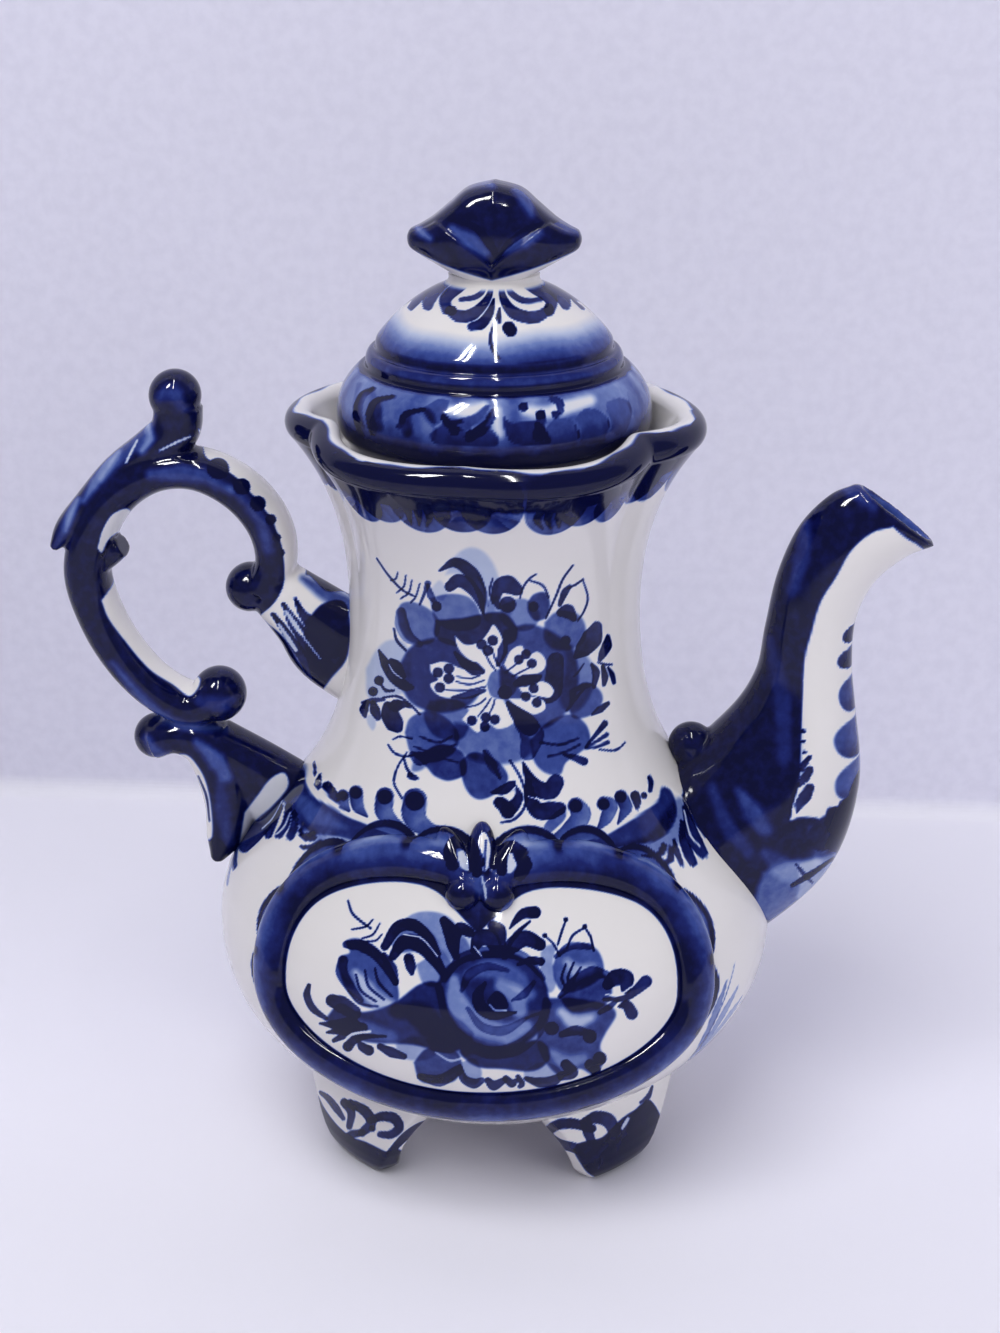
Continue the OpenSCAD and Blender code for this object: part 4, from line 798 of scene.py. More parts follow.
def makePot(material):
    lowRun, midRun = runAt(pot["lowZ"]), runAt(pot["midZ"])
    lipRun, ledgeRun = potRun[lipStart], potRun[ledgeStart]
    zones = [("potUnder", 0, 180, 0, lowRun, 1.0)]     # name, middle angle, half width, runs, spacing
    for side, middle, wideLow, wideHigh, fineLow, fineHigh in (
            ("front", -90, 48, 60, 0.3, 0.31), ("spoutSide", 0, 42, 30, 0.6, 0.5),
            ("back", 90, 48, 60, 0.3, 0.31), ("handleSide", 180, 42, 30, 0.6, 0.5)):
        zones.append((side + "Belly", middle, wideLow, lowRun, midRun, fineLow))
        zones.append((side + "Neck", middle, wideHigh, midRun, lipRun, fineHigh))
    zones += [("potLip", 0, 180, lipRun, ledgeRun, 0.45), ("potInside", 0, 180, ledgeRun, potRun[-1], 1.2)]
    for name, middle, wide, low, high, spacing in zones:
        angles = math.radians(middle - wide), math.radians(middle + wide)
        piece, angle, run = sheetPiece(name, potSurface, angles, (low, high), spacing)
        bare = name == "potInside"
        load = np.zeros(len(run)) if bare else paintPot(spotsOf(piece), angle, run - lipRun)
        dress(piece, load, material, "pot", "porcelain_body", "body")
    print("pot made")


# the spout; its petals go down the outer side, by height of the middle, half height, half width and load
spout = dict(stations=[(44, 66, 24, 19, -60), (54, 72.5, 24, 19, -60), (66, 85, 23, 17, -50),
                       (72, 99, 18.4, 13.6, -36), (73.2, 113, 13, 10.8, -23), (73.2, 125, 11.1, 9.4, -22),
                       (74.5, 137, 10.7, 8.6, -30), (78.4, 147, 11, 8, -36), (84.8, 153.8, 11.5, 7, -37),
                       (90.6, 156.6, 11.7, 6, -37)],
             rootX=67, rootZ=75, drawnReach=33.1, drawnHeight=89, reach=101.0, height=164.0, wall=2.6,
             curl=(47.4, 98.6), curlRadius=5.5, voxel=0.52, softness=3, mouthLine=213.0,
             petals=[(129, 2.2, 6.6, 0.85), (123.2, 2.6, 7.6, 0.82), (114.2, 4.4, 8.2, 0.6),
                     (103.6, 5.0, 10.6, 0.56), (93.4, 5.2, 11.6, 0.5), (82, 6.4, 15.5, 0.95)])

spoutShades = [
    ("glaze", -0.35, (5, 11, 12, 6), 766, 852, 780, 866, 798, 872, 814, 862),
    ("glaze", -0.32, (5, 8, 6), 806, 524, 802, 556, 792, 590),
    ("glaze", -0.25, (5, 9, 6), 770, 640, 782, 700, 784, 760),
    ("glaze", -0.4, (4, 10, 8), 738, 790, 752, 810, 764, 828),
    ("glaze", -0.35, (4, 8, 5), 830, 480, 856, 492, 872, 506),
    ("glaze", -0.5, (3, 4, 4), 858, 480, 892, 498, 918, 524),
    ("glaze", -0.3, (5, 8, 6), 712, 786, 726, 824, 748, 852),
    ("glaze", -0.4, (4, 8, 5), 812, 830, 822, 844, 816, 858),
    ("wash", -0.55, 8, 762, 872, 790, 860, 826, 858, 850, 850, 860, 900, 790, 930, 756, 906),
    ("wash", -0.5, 5, 796, 864, 818, 858, 838, 852, 850, 880, 800, 900, 800, 880),
    ("leaf", 0.85, (1, 3, 2), 833, 858, 810, 874, 792, 885),
    ("leaf", 0.6, (1, 2, 1), 796, 864, 804, 874, 812, 882)]

spoutPanel = [
    ("wash", -1, 3, 893, 526, 872, 532, 851, 550, 836, 576, 820, 602, 811, 632, 804, 660, 802, 700,
     801, 740, 799, 780, 789, 818, 800, 817, 817, 818, 824, 822, 828, 808, 842, 804, 858, 770, 900, 700,
     970, 640, 960, 580, 922, 547, 908, 538),
    ("wash", 1, 2, 824, 822, 832, 808, 838, 806, 842, 800, 870, 790, 880, 800, 860, 840, 836, 836),
    ("round", 0.98, 1.9, 803, 731, 803, 741, 804, 752),
    ("leaf", 0.95, (2, 3.2, 1.5), 809, 757, 804, 764, 802, 770),
    ("leaf", 0.9, (3.5, 4.5, 2), 810, 769, 805, 777, 799, 785),
    ("leaf", 0.9, (4, 6, 4, 1), 810, 787, 805, 796, 799, 804, 797, 812),
    ("line", 0.8, 1.2, 797, 785, 792, 800, 789, 818)]


def spoutPlace(x, z):         # stretches the stations to the spout's reach and height
    wider = (spout["reach"] - pot["bellyR"]) / spout["drawnReach"]
    taller = (spout["height"] - spout["rootZ"]) / spout["drawnHeight"]
    return pot["bellyR"] + (x - spout["rootX"]) * wider, spout["rootZ"] + (z - spout["rootZ"]) * taller


def spoutRings(path, less, sides=72):
    turns = np.arange(sides) * 2 * math.pi / sides
    tilt = np.radians(path[:, 4])[:, None]
    long = (path[:, 2:3] - less) * np.cos(turns)
    wide = (path[:, 3:4] - less) * np.sin(turns)
    return np.dstack([path[:, 0:1] + long * np.cos(tilt), wide, path[:, 1:2] + long * np.sin(tilt)])


def paintSpout(piece, path):
    spots, normals = spotsOf(piece), readPoints(piece, "normal")
    across, z = spots[:, 1], spots[:, 2]
    near = path[np.argmin(((spots[:, None, ::2] - path[None, :, :2]) ** 2).sum(2), axis=1)]
    tilt = np.radians(near[:, 4])
    rel = spots - np.column_stack([near[:, 0], np.zeros(len(near)), near[:, 1]])
    long = (rel[:, 0] * np.cos(tilt) + rel[:, 2] * np.sin(tilt)) / near[:, 2]
    inward = -(unit(rel) * normals).sum(1)
    hollow = ease((0.97 - np.hypot(long, across / near[:, 3])) / 0.06) * ease((inward + 0.1) / 0.3)
    petals = np.zeros(len(z))
    for middle, high, wide, depth in spout["petals"]:
        inside = 1 - (np.abs(across) / wide) ** 5 - np.abs((z - middle) / high) ** 2.2
        drawn = depth + 0.25 * ease((middle - z) / high) * (depth < 0.9)
        petals = np.maximum(petals, drawn * ease(inside / 0.25))
    load = np.maximum(paintSide(piece, spoutShades + spoutPanel, 0.97), petals * ease(long / 0.3))
    lip = 0.5 * ease((z + 0.75 * spots[:, 0] - spout["mouthLine"]) / 2)
    return mix(load, lip, hollow)


def makeSpout(material):
    path = through([(*spoutPlace(x, z), *rest) for x, z, *rest in spout["stations"]], 10)
    inner = spoutRings(path[10:], spout["wall"])[::-1]
    mouth = spoutRings(path[-1:], spout["wall"] * 0.5) + (0.45, 0, 0.6)
    bm = bmesh.new()
    ringSkin(bm, np.concatenate([spoutRings(path, 0), mouth, inner]))
    x, z = spoutPlace(*spout["curl"])
    addBall(bm, (x, 0, z), spout["curlRadius"])
    trimToPot(bm)
    piece = fuse("spoutShell", bm, spout["voxel"], spout["softness"])
    dress(piece, paintSpout(piece, path), material, "pot", "cobalt_spout", "spout")
    print("spout made")


# the handle: scrolls of one flat bar, with balls at their ends
handle = dict(reach=103.5, height=182.0, width=15.0, rootZ=120, drawnReach=70.5, drawnHeight=62,
              voxel=0.45, softness=6,
              scroll=[(-54.5, 136, 4.4), (-51.2, 143.5, 4.8), (-53, 152.5, 4.9), (-59.5, 160.3, 4.8),
                      (-69, 164.8, 4.6), (-79, 164.2, 4.7), (-88, 158.6, 4.9), (-94.2, 149.5, 5.2),
                      (-96.8, 139.5, 5.2), (-94.3, 128.5, 5), (-89.2, 118.6, 4.9), (-82.4, 110.8, 4.7),
                      (-74.5, 106.4, 4.6), (-68, 107.6, 4.8)],
              crest=[(-72.6, 180, 5.4), (-74, 173.6, 5.6), (-80, 169, 4.8), (-88.2, 163.4, 4),
                     (-95.4, 156, 3.4), (-100.6, 150.4, 2.8), (-103.4, 146.2, 1.4)],
              upperBracket=[(-52.5, 137, 6.6), (-44.5, 129.8, 9), (-38.4, 124, 11.6), (-30, 119, 12.6)],
              lowerBracket=[(-83, 97.2, 4.6), (-77, 98.8, 4.6), (-70.6, 96.6, 5.8), (-66, 89.5, 7),
                            (-64.6, 80.5, 6.6), (-66.6, 72, 4.6), (-68.2, 67.4, 2)],
              shoulderWeb=[(-69, 96.5, 6), (-60, 89, 8.4), (-48, 80, 10)],
              leafBud=[(-97, 141, 4), (-92.2, 143.4, 3.4), (-87.8, 145.8, 2.4)],
              shares=dict(scroll=1, crest=0.8, upperBracket=1, lowerBracket=1, shoulderWeb=0.9, leafBud=0.6),
              balls=[(-73.4, 182, 6), (-57.8, 136.2, 5.8), (-66.6, 108.9, 6.6), (-82.6, 97.6, 5.4)])

handlePaint = [
    ("wash", -1, 2, 198, 428, 214, 434, 240, 446, 272, 474, 296, 516, 304, 556, 306, 572, 300, 584,
     306, 600, 300, 606, 290, 606, 280, 612, 270, 616, 256, 624, 250, 622, 262, 613, 274, 602, 283, 585,
     284, 568, 282, 549, 279, 538, 275, 527, 271, 517, 265, 510, 259, 500, 251, 493, 242, 482, 232, 474,
     219, 464, 206, 457, 202, 444), ("round", 1, 11, 190, 452), ("round", 1, 10.5, 218, 468),
    ("round", 1, 8, 242, 486), ("round", 1, 7.4, 258, 503), ("round", 1, 5, 271, 519),
    ("round", 1, 3.6, 277, 537), ("round", 1, 3.4, 281, 552),
    ("wash", -1, 3, 262, 618, 276, 602, 290, 590, 306, 574, 326, 590, 352, 600, 356, 690, 330, 700,
     318, 694, 300, 664, 284, 638, 268, 624), ("glaze", 0.5, (3, 7, 9), 303, 578, 322, 590, 344, 604),
    ("wash", 1, 3, 306, 622, 322, 604, 344, 602, 350, 630, 346, 658, 332, 676, 319, 690, 311, 672,
     306, 648), ("leaf", 1, (2, 4, 5, 6), 273, 614, 286, 632, 302, 656, 318, 684),
    ("leaf", 1, (1.5, 5, 8, 9), 283, 603, 292, 620, 306, 640, 320, 664),
    ("leaf", 1, (1.2, 4, 8, 9), 295, 598, 303, 614, 318, 630, 334, 648),
    ("line", -0.9, 3, 286, 611, 294, 623, 301, 633), ("line", -0.9, 1.5, 299, 630, 309, 644, 320, 658),
    ("line", -0.9, 2.4, 279, 624, 288, 638, 296, 650),
    # painted highlights: soft glaze strokes that take cobalt off, lighter streaks along the crest's upper
    # edge and near its top
    ("glaze", -0.62, (3, 6, 6, 3), 118, 452, 100, 474, 84, 500),
    ("glaze", -0.6, (2, 4, 4, 2), 78, 498, 70, 516, 66, 530),
    ("line", -0.9, 1.6, 160, 450, 176, 442, 190, 436),
    ("glaze", -0.7, (3, 5, 4), 148, 424, 150, 438, 142, 450),
    ("line", -0.9, 1.4, 137, 440, 131, 452, 126, 462),
    # painted highlights: lighter glaze patches on the dark scroll
    ("glaze", -0.4, (5, 9, 7, 4), 150, 474, 196, 474, 230, 490),
    ("glaze", -0.35, (3, 7, 6), 230, 488, 256, 512, 268, 548),
    ("glaze", -0.35, (4, 10, 4), 158, 398, 172, 392, 184, 408),
    ("wash", -0.97, 2, 97, 548, 102, 530, 112, 514, 128, 508, 134, 522, 128, 531, 118, 532, 108, 540,
     102, 552),
    ("wash", -1, 3, 101, 600, 112, 584, 114, 574, 126, 556, 134, 590, 150, 630, 178, 664, 200, 678,
     190, 696, 172, 684, 148, 668, 124, 640, 108, 618),
    # painted highlights: lighter glaze streaks along the bar's lower part and the lower bracket
    ("glaze", -0.45, (3, 5, 6, 5, 3), 112, 662, 146, 702, 178, 724, 226, 728),
    ("glaze", -0.3, (5, 9, 5), 200, 700, 220, 704, 232, 700),
    ("glaze", -0.5, (4, 9, 6), 196, 742, 216, 760, 226, 776),
    ("glaze", -0.4, (3, 7, 4), 146, 736, 156, 752, 168, 756),
    ("wash", -1, 3, 150, 764, 168, 756, 186, 754, 198, 766, 206, 782, 211, 806, 212, 836, 204, 852,
     190, 850, 180, 800, 150, 780), ("line", 0.7, 1.2, 198, 776, 206, 796, 209, 820),
    ("wash", 0.85, 4, 196, 848, 214, 838, 226, 850, 222, 868, 200, 868),
    # painted highlight: a lighter glaze streak down the curl
    ("glaze", -0.3, (4, 8, 5), 220, 780, 222, 810, 228, 840),
    # the two glaze strokes that end this list are painted highlights along the crest's upper edge
    ("wash", -0.95, 3, 244, 812, 256, 796, 270, 778, 284, 772, 288, 786, 272, 806, 254, 822, 244, 840,
     236, 860, 240, 836), ("glaze", -0.4, (4, 8, 8, 4), 152, 416, 138, 436, 120, 456, 102, 478),
    ("glaze", -0.35, (3, 6, 4), 76, 500, 66, 522, 58, 544)]


def grip(x, z):               # stretches the stations to the handle's reach and height
    wider = (handle["reach"] - pot["waistR"]) / handle["drawnReach"]
    taller = (handle["height"] - handle["rootZ"]) / handle["drawnHeight"]
    return -pot["waistR"] + (x + pot["waistR"]) * wider, handle["rootZ"] + (z - handle["rootZ"]) * taller


def barRings(stations, width, sides=40):
    path = through([(*grip(x, z), thick) for x, z, thick in stations], 8)
    ahead = unit(np.gradient(path[:, :2], axis=0))
    turns = np.arange(sides) * 2 * math.pi / sides
    bulge = np.sign(np.cos(turns)) * np.abs(np.cos(turns)) ** 0.8 * path[:, 2:3]
    wide = -width * np.sign(np.sin(turns)) * np.abs(np.sin(turns)) ** 0.8
    return np.dstack([path[:, 0:1] - bulge * ahead[:, 1:2], np.broadcast_to(wide, bulge.shape),
                      path[:, 1:2] + bulge * ahead[:, 0:1]])


def makeHandle(material):
    bm = bmesh.new()
    for name, share in handle["shares"].items():
        ringSkin(bm, barRings(handle[name], handle["width"] / 2 * share))
    for x, z, radius in handle["balls"]:
        x, z = grip(x, z)
        addBall(bm, (x, 0, z), radius, form=Matrix.Diagonal((1, 1.15, 1, 1)))
    trimToPot(bm)
    piece = fuse("handleScroll", bm, handle["voxel"], handle["softness"])
    dress(piece, paintSide(piece, handlePaint, 0.97), material, "pot", "cobalt_handle", "handle")
    print("handle made")


# the feet, softened from the shapes of the fixed model
feet = dict(voxel=0.4, softness=10)

footPaint = [
    ("wash", 1, 2, 318, 1096, 324, 1108, 336, 1124, 350, 1136, 366, 1142, 388, 1152, 396, 1148, 404, 1156,
     396, 1176, 360, 1180, 330, 1160, 312, 1130),
    ("leaf", 0.95, (3, 4, 4, 3, 2), 389, 1153, 404, 1137, 420, 1126, 440, 1120, 462, 1118),
    ("leaf", 0.9, (1.5, 3, 3.5, 2), 320, 1092, 328, 1098, 336, 1108, 343, 1118),
    ("leaf", 0.95, (4, 4, 3), 344, 1102, 351, 1112, 349, 1126),
    ("leaf", 0.95, (4, 5, 5, 4), 350, 1103, 364, 1110, 371, 1122, 362, 1132),
    ("leaf", 0.9, (3, 4, 3), 362, 1132, 352, 1134, 344, 1138),
    ("leaf", 0.95, (3, 4.5, 5, 4.5, 4, 3), 370, 1120, 382, 1116, 394, 1118, 399, 1127, 391, 1134,
     380, 1134), ("round", 0.9, 3, 372, 1128),
    ("wash", 1, 2, 573, 1150, 579, 1143, 592, 1140, 602, 1137, 612, 1128, 622, 1118, 634, 1110, 650, 1100,
     662, 1130, 640, 1168, 610, 1180, 590, 1174, 580, 1162),
    ("leaf", 0.95, (4, 5, 5, 4.5, 4, 5), 592, 1128, 572, 1123, 556, 1125, 548, 1133, 558, 1142, 576, 1148),
    ("leaf", 0.95, (4, 6, 7, 6), 584, 1122, 596, 1117, 608, 1120, 614, 1130),
    ("leaf", 0.9, (5, 5, 4), 586, 1122, 588, 1132, 592, 1142), ("line", -0.9, 2, 622, 1128, 628, 1118),
    ("leaf", 0.95, (1.5, 2.5, 3, 2, 1), 518, 1118, 536, 1126, 550, 1140, 562, 1158, 566, 1164),
    ("leaf", 0.85, (1, 2.4, 1), 652, 1086, 648, 1096, 640, 1102)]


def makeFeet(material):
    for name in ("foot_front_left", "foot_front_right", "foot_back_left", "foot_back_right"):
        bm = bmesh.new()
        bm.from_mesh(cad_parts[name].data)
        bmesh.ops.remove_doubles(bm, verts=bm.verts, dist=1e-6)
        piece = fuse(name + "Toe", bm, feet["voxel"], feet["softness"])
        dress(piece, paintSide(piece, footPaint), material, "pot", "porcelain_foot", name)
    print("feet made")


# the lid, its collar and its knob
lid = dict(radius=35.6, low=170.2, edge=9.4, dome=29.0, topRadius=11.2, wall=3.0, stemRadius=10.6,
           stemHeight=2.6, stemShare=0.8, grooveDepth=1.05, grooveWidth=0.95, spacing=0.42, spinSteps=120,
           collarRadius=29.8, collarWall=2.6, collarLow=160.1, flange=3.4, steamRadius=1.7, steamBack=22.07)
knob = dict(width=38.4, height=22.0, depth=23.0, foldStep=1.8, voxel=0.3, softness=4,
            stations=[(-1.005, 0.428, 0.432, 0.004), (-0.995, 0.39, 0.47, 0.12), (-0.96, 0.34, 0.52, 0.28),
                      (-0.86, 0.29, 0.56, 0.46), (-0.7, 0.22, 0.645, 0.68), (-0.5, 0.13, 0.79, 0.88),
                      (-0.3, 0.05, 0.93, 0.98), (0, 0, 1, 1)])


def lidOutline():             # from the stem's foot over the dome to the lower edge
    wideZ = lid["low"] + lid["edge"]
    topZ = wideZ + lid["dome"]
    radius, top, low, stem = lid["radius"], lid["topRadius"], lid["low"], lid["stemRadius"]
    stepR = radius * 0.835
    stepZ = mix(wideZ, topZ, 0.4)
    neck = [(stem - 2, topZ + lid["stemHeight"]), (stem - 0.4, topZ + 2.2), (stem - 0.5, topZ + 1.2),
            (stem, topZ + 0.4), (top + 0.3, topZ - 0.05)]
    dome = bezier([(top, topZ), (mix(top, stepR, 0.4), topZ - 3),
                   (mix(top, stepR, 0.8), mix(stepZ, topZ, 0.45)), (stepR, stepZ)], 60)
    bulge = bezier([(stepR + 0.5, stepZ - 0.6), (mix(stepR, radius, 0.75), mix(wideZ, stepZ, 0.66)),
                    (radius, mix(wideZ, stepZ, 0.36)), (radius, wideZ)], 40)
    edge = bezier([(radius, wideZ), (radius, wideZ - 4.6), (radius - 2.8, low + 5),
                   (radius - 3, low + 0.8)], 30)
    side = np.vstack([neck, dome[2:], bulge[1:], edge[1:]])
    grooves = dome[[49, 59]]
    for spot in grooves:
        away = np.linalg.norm(side - spot, axis=1) / lid["grooveWidth"]
        side -= lid["grooveDepth"] * np.exp(-away ** 2)[:, None] * np.array([0.5, 0.86])
    return side, grooves[:, 1], wideZ, topZ


lidSide, lidGrooves, lidWideZ, lidTopZ = lidOutline()
lidRun = arcLengths(lidSide)


def lidSurface(angle, run):
    r, z = (np.interp(run, lidRun, lidSide[:, k]) for k in range(2))
    depth = mix(lid["stemShare"], 1, ease((lidTopZ + 1.4 - z) / 2.6))
    return np.column_stack([r * np.cos(angle), r * np.sin(angle) * depth, z])


def knobRings():              # a bud between two leaves, folded over it along a line that rises to its ends
    stations = through(knob["stations"], 8)
    stations = np.vstack([stations, stations[-2::-1] * (-1, 1, 1, 1)])
    lowZ, height = lidTopZ + 0.4, knob["height"]
    tuckOf = np.repeat([0, knob["foldStep"]], 18)
    power = np.repeat([0.45, 0.6], 18)
    rings = []
    for share, lowShare, highShare, depth in stations:
        middle = lowZ + height * (lowShare + highShare) / 2
        half = height * (highShare - lowShare) / 2
        foldZ = lowZ + height * (0.2 + 0.62 * abs(share) ** 0.8)
        fold = math.asin(min(0.8, max(-0.8, (foldZ - middle) / half)))
        turns = np.concatenate([np.linspace(-math.pi / 2, fold, 18),
                                np.linspace(fold + 0.09, math.pi / 2, 18)])
        tuck = tuckOf * (1 - min(1, share ** 2))
        y = (knob["depth"] / 2 * depth - tuck).clip(0.02) * np.maximum(0, np.cos(turns)) ** power
        face = np.column_stack([np.full(36, share * knob["width"] / 2), -y, middle + half * np.sin(turns)])
        rings.append(np.vstack([face, (face * (1, -1, 1))[-2:0:-1]]))
    return np.array(rings)


lidGlints = [
    ("glaze", -0.95, (5, 7, 5), 452, 410, 470, 411, 484, 405),
    ("glaze", -0.95, (3, 5, 4), 498, 410, 497, 424, 500, 434),
    ("glaze", -0.95, (5, 6, 8, 6), 526, 410, 546, 412, 562, 408, 590, 400)]

lidPetals = [
    ("wash", 0.5, 5, 356, 380, 372, 384, 380, 400, 384, 428, 366, 428, 352, 410),
    ("glaze", -0.8, (3, 6, 5), 366, 386, 362, 402, 366, 418),
    ("left", 0.85, (2, 4, 5, 4), 374, 388, 362, 396, 358, 414, 362, 432),
    ("wash", 0.45, 5, 376, 398, 392, 396, 408, 404, 414, 426, 404, 440, 380, 434, 370, 414),
    ("glaze", -0.8, (3, 8, 9, 5), 396, 404, 392, 416, 398, 428),
    ("left", 0.9, (2, 3, 4, 4), 394, 396, 376, 401, 370, 414, 374, 432),
    ("wash", 0.55, 5, 400, 418, 412, 409, 428, 408, 436, 420, 434, 438, 414, 440, 402, 432),
    ("glaze", -0.75, (4, 7, 5), 416, 420, 424, 430, 432, 434),
    ("left", 0.85, (2, 3, 3), 424, 409, 406, 414, 400, 426),
    ("wash", 0.6, 3, 422, 408, 438, 398, 450, 400, 446, 412, 440, 424, 430, 420),
    ("wash", 0.7, 3, 430, 434, 446, 422, 466, 430, 486, 426, 498, 436, 496, 446, 460, 446, 436, 444),
    ("wash", 0.62, 2, 442, 416, 456, 418, 474, 414, 488, 404, 492, 412, 484, 426, 462, 430, 446, 426),
    ("leaf", 0.95, (3, 3, 1.5), 444, 416, 449, 422, 462, 421), ("round", 0.95, 4.5, 455, 430),
    ("leaf", 0.8, (1, 4, 6, 5), 496, 404, 492, 416, 482, 428, 470, 436),
    ("line", -1, 1.2, 490, 408, 483, 420, 472, 428),
    ("wash", 0.82, 2, 503, 414, 512, 422, 534, 420, 546, 430, 548, 444, 516, 444, 506, 432),
    ("round", 0.98, 4.6, 524, 406, 541, 414), ("leaf", 0.95, (4, 5, 6), 541, 414, 541, 424, 540, 434),
    ("round", 0.85, 4, 556, 414), ("leaf", 0.8, (3, 4, 3), 552, 398, 560, 402, 561, 412),
    ("wash", 0.6, 2, 545, 428, 556, 418, 572, 419, 580, 432, 578, 444, 550, 444),
    ("wash", 0.6, 2, 574, 418, 586, 408, 602, 411, 610, 424, 606, 440, 582, 442),
    ("wash", 0.55, 2, 606, 402, 616, 397, 628, 400, 632, 416, 624, 434, 610, 430),
    ("wash", 0.42, 3, 626, 392, 634, 385, 646, 394, 652, 410, 642, 426, 632, 414),
    ("line", -0.8, 1.4, 575, 420, 581, 432, 580, 440), ("line", -0.8, 1.3, 605, 408, 611, 424, 607, 436)]

lidLoops = [
    ("leaf", 0.9, (1.5, 3.5, 6, 6, 4.5), 502, 277, 503, 296, 514, 312, 534, 317, 549, 310),
    ("leaf", 0.85, (4, 6, 6, 5), 512, 276, 536, 288, 551, 299, 550, 310),
    ("leaf", 0.85, (1.2, 3, 3, 2), 506, 279, 511, 292, 524, 300, 541, 299),
    ("leaf", 0.8, (2, 5, 7, 5), 534, 276, 550, 286, 562, 296, 566, 304),
    ("leaf", 0.8, (1, 3, 4, 3), 556, 283, 568, 291, 577, 299, 583, 306),
    ("leaf", 0.75, (0.8, 2, 2, 1), 574, 291, 584, 299, 592, 308), ("round", 1.0, 4.6, 549, 308, 452, 310),
    ("leaf", 0.9, (1.5, 3.5, 6, 6, 4.5), 493, 280, 488, 298, 474, 313, 460, 316, 450, 310),
    ("leaf", 0.85, (4, 6, 6, 5), 478, 275, 458, 287, 446, 298, 447, 309),
    ("leaf", 0.8, (1, 2.6, 2.6, 2), 487, 284, 482, 292, 474, 297, 461, 299),
    ("leaf", 0.8, (2, 5, 7, 5), 456, 277, 440, 287, 430, 297, 428, 305),
    ("leaf", 0.8, (1, 3, 4, 3), 437, 284, 424, 292, 417, 300, 411, 307),
    ("leaf", 0.75, (0.8, 2, 2, 1), 416, 292, 406, 300, 398, 309),
    ("leaf", 0.95, (1.2, 4, 5.5, 4), 494, 299, 490, 312, 482, 323, 472, 326),
    ("leaf", 0.85, (0.8, 1.6, 1.8, 0.6), 496, 318, 491, 336, 493, 348, 500, 359),
    ("leaf", 0.95, (1, 2.4, 1.4), 500, 308, 499, 316, 500, 322), ("round", 1.0, 6, 509, 327, 511, 330)]

knobPaint = [
    # painted sheen: glaze strokes that take cobalt off along the knob's top edge, tips and ridge, lighter
    # patches on the dark glaze
    ("glaze", -0.6, (3, 5, 3), 416, 226, 422, 232, 430, 238),
    ("glaze", -0.5, (4, 8, 5), 452, 228, 470, 240, 486, 252),
    ("glaze", -0.5, (3, 6, 4), 464, 184, 478, 180, 492, 184),
    ("glaze", -0.42, (4, 7, 4), 516, 188, 526, 200, 532, 214),
    ("glaze", -0.42, (4, 9, 4), 506, 250, 524, 240, 540, 232),
    ("glaze", -0.4, (3, 6, 3), 556, 222, 568, 226, 578, 232),
    ("glaze", -0.35, (3, 6, 3), 440, 206, 448, 198, 458, 192),
    ("leaf", 0.4, (1, 3, 4, 2), 448, 218, 474, 226, 490, 244, 498, 258),
    ("leaf", 0.4, (1, 3, 4, 2), 498, 258, 508, 244, 528, 230, 556, 220)]


def paintLid(angle, run):
    spots = lidSurface(angle, run)
    sheet = onCartoon(turnedToFront(spots))
    z = spots[:, 2]
    upper, lower = lidGrooves
    bands = [(lidWideZ - 7.4, 0), (lidWideZ - 6.8, 1.0), (lidWideZ - 2.2, 0.95), (lidWideZ - 0.4, 0.62),
             (lidWideZ + 1.6, 0.26), (lidWideZ + 4.5, 0.06), (lower - 1.5, 0.0), (lower - 0.9, 0.95),
             (lower + 0.6, 0.98), (lower + 1.2, 0.62), (upper - 1, 0.74), (upper - 0.4, 1.0),
             (upper + 0.7, 0.9), (upper + 1.1, 0.66), (upper + 3.2, 0.42), (upper + 5.6, 0.10),
             (upper + 7, 0)]
    uneven = 0.32 + 0.2 * np.sin(angle * 9 + 2 * np.sin(angle * 4)) ** 2
    load = np.maximum(painted(sheet, lidGlints, uneven), painted(sheet, lidPetals))
    load *= 0.88 * ease((lower - z) / 0.6)
    sway = 0.5 * np.sin(angle * 3 + 1) + 0.25 * np.sin(angle * 7)
    load += np.interp(z + sway * (z > upper + 1), *zip(*bands))
    return load + painted(sheet, lidLoops) * ease((z - upper) / 2) * ease((lidTopZ + 0.5 - z) / 0.8)


def drillSteamHole(piece):    # straight down through the dome, behind the knob, blind, with walls and end painted near black as painted shade of an unlit inside
    axis = Vector((0, lid["steamBack"])) * mm
    bore = lid["steamRadius"] * mm
    bm = bmesh.new()
    bm.from_mesh(piece.data)
    inside = [vert for vert in bm.verts if (vert.co.xy - axis).length < bore]
    bmesh.ops.delete(bm, geom=inside, context="VERTS")
    rim = [edge for edge in bm.edges if edge.is_boundary and (edge.verts[0].co.xy - axis).length < bore * 1.6]
    for vert in {vert for edge in rim for vert in edge.verts}:
        away = vert.co.xy - axis
        vert.co.xy = axis + away * bore / away.length
    cobalt = bm.verts.layers.float["cobalt"]
    for drop, load in ((0.4, 0.3), (0.1, 1.4), (2.6, 1.4)):     # steps down, and the cobalt at their ends: near black below the first step, painted shade of the hole's unlit inside
        wall = bmesh.ops.extrude_edge_only(bm, edges=rim)["geom"]
        rim = [part for part in wall if isinstance(part, bmesh.types.BMEdge)]
        lower = [part for part in wall if isinstance(part, bmesh.types.BMVert)]
        bmesh.ops.translate(bm, verts=lower, vec=(0, 0, -drop * mm))
        for vert in lower:
            vert[cobalt] = load
    bmesh.ops.holes_fill(bm, edges=rim, sides=0)
    bm.to_mesh(piece.data)
    bm.free()


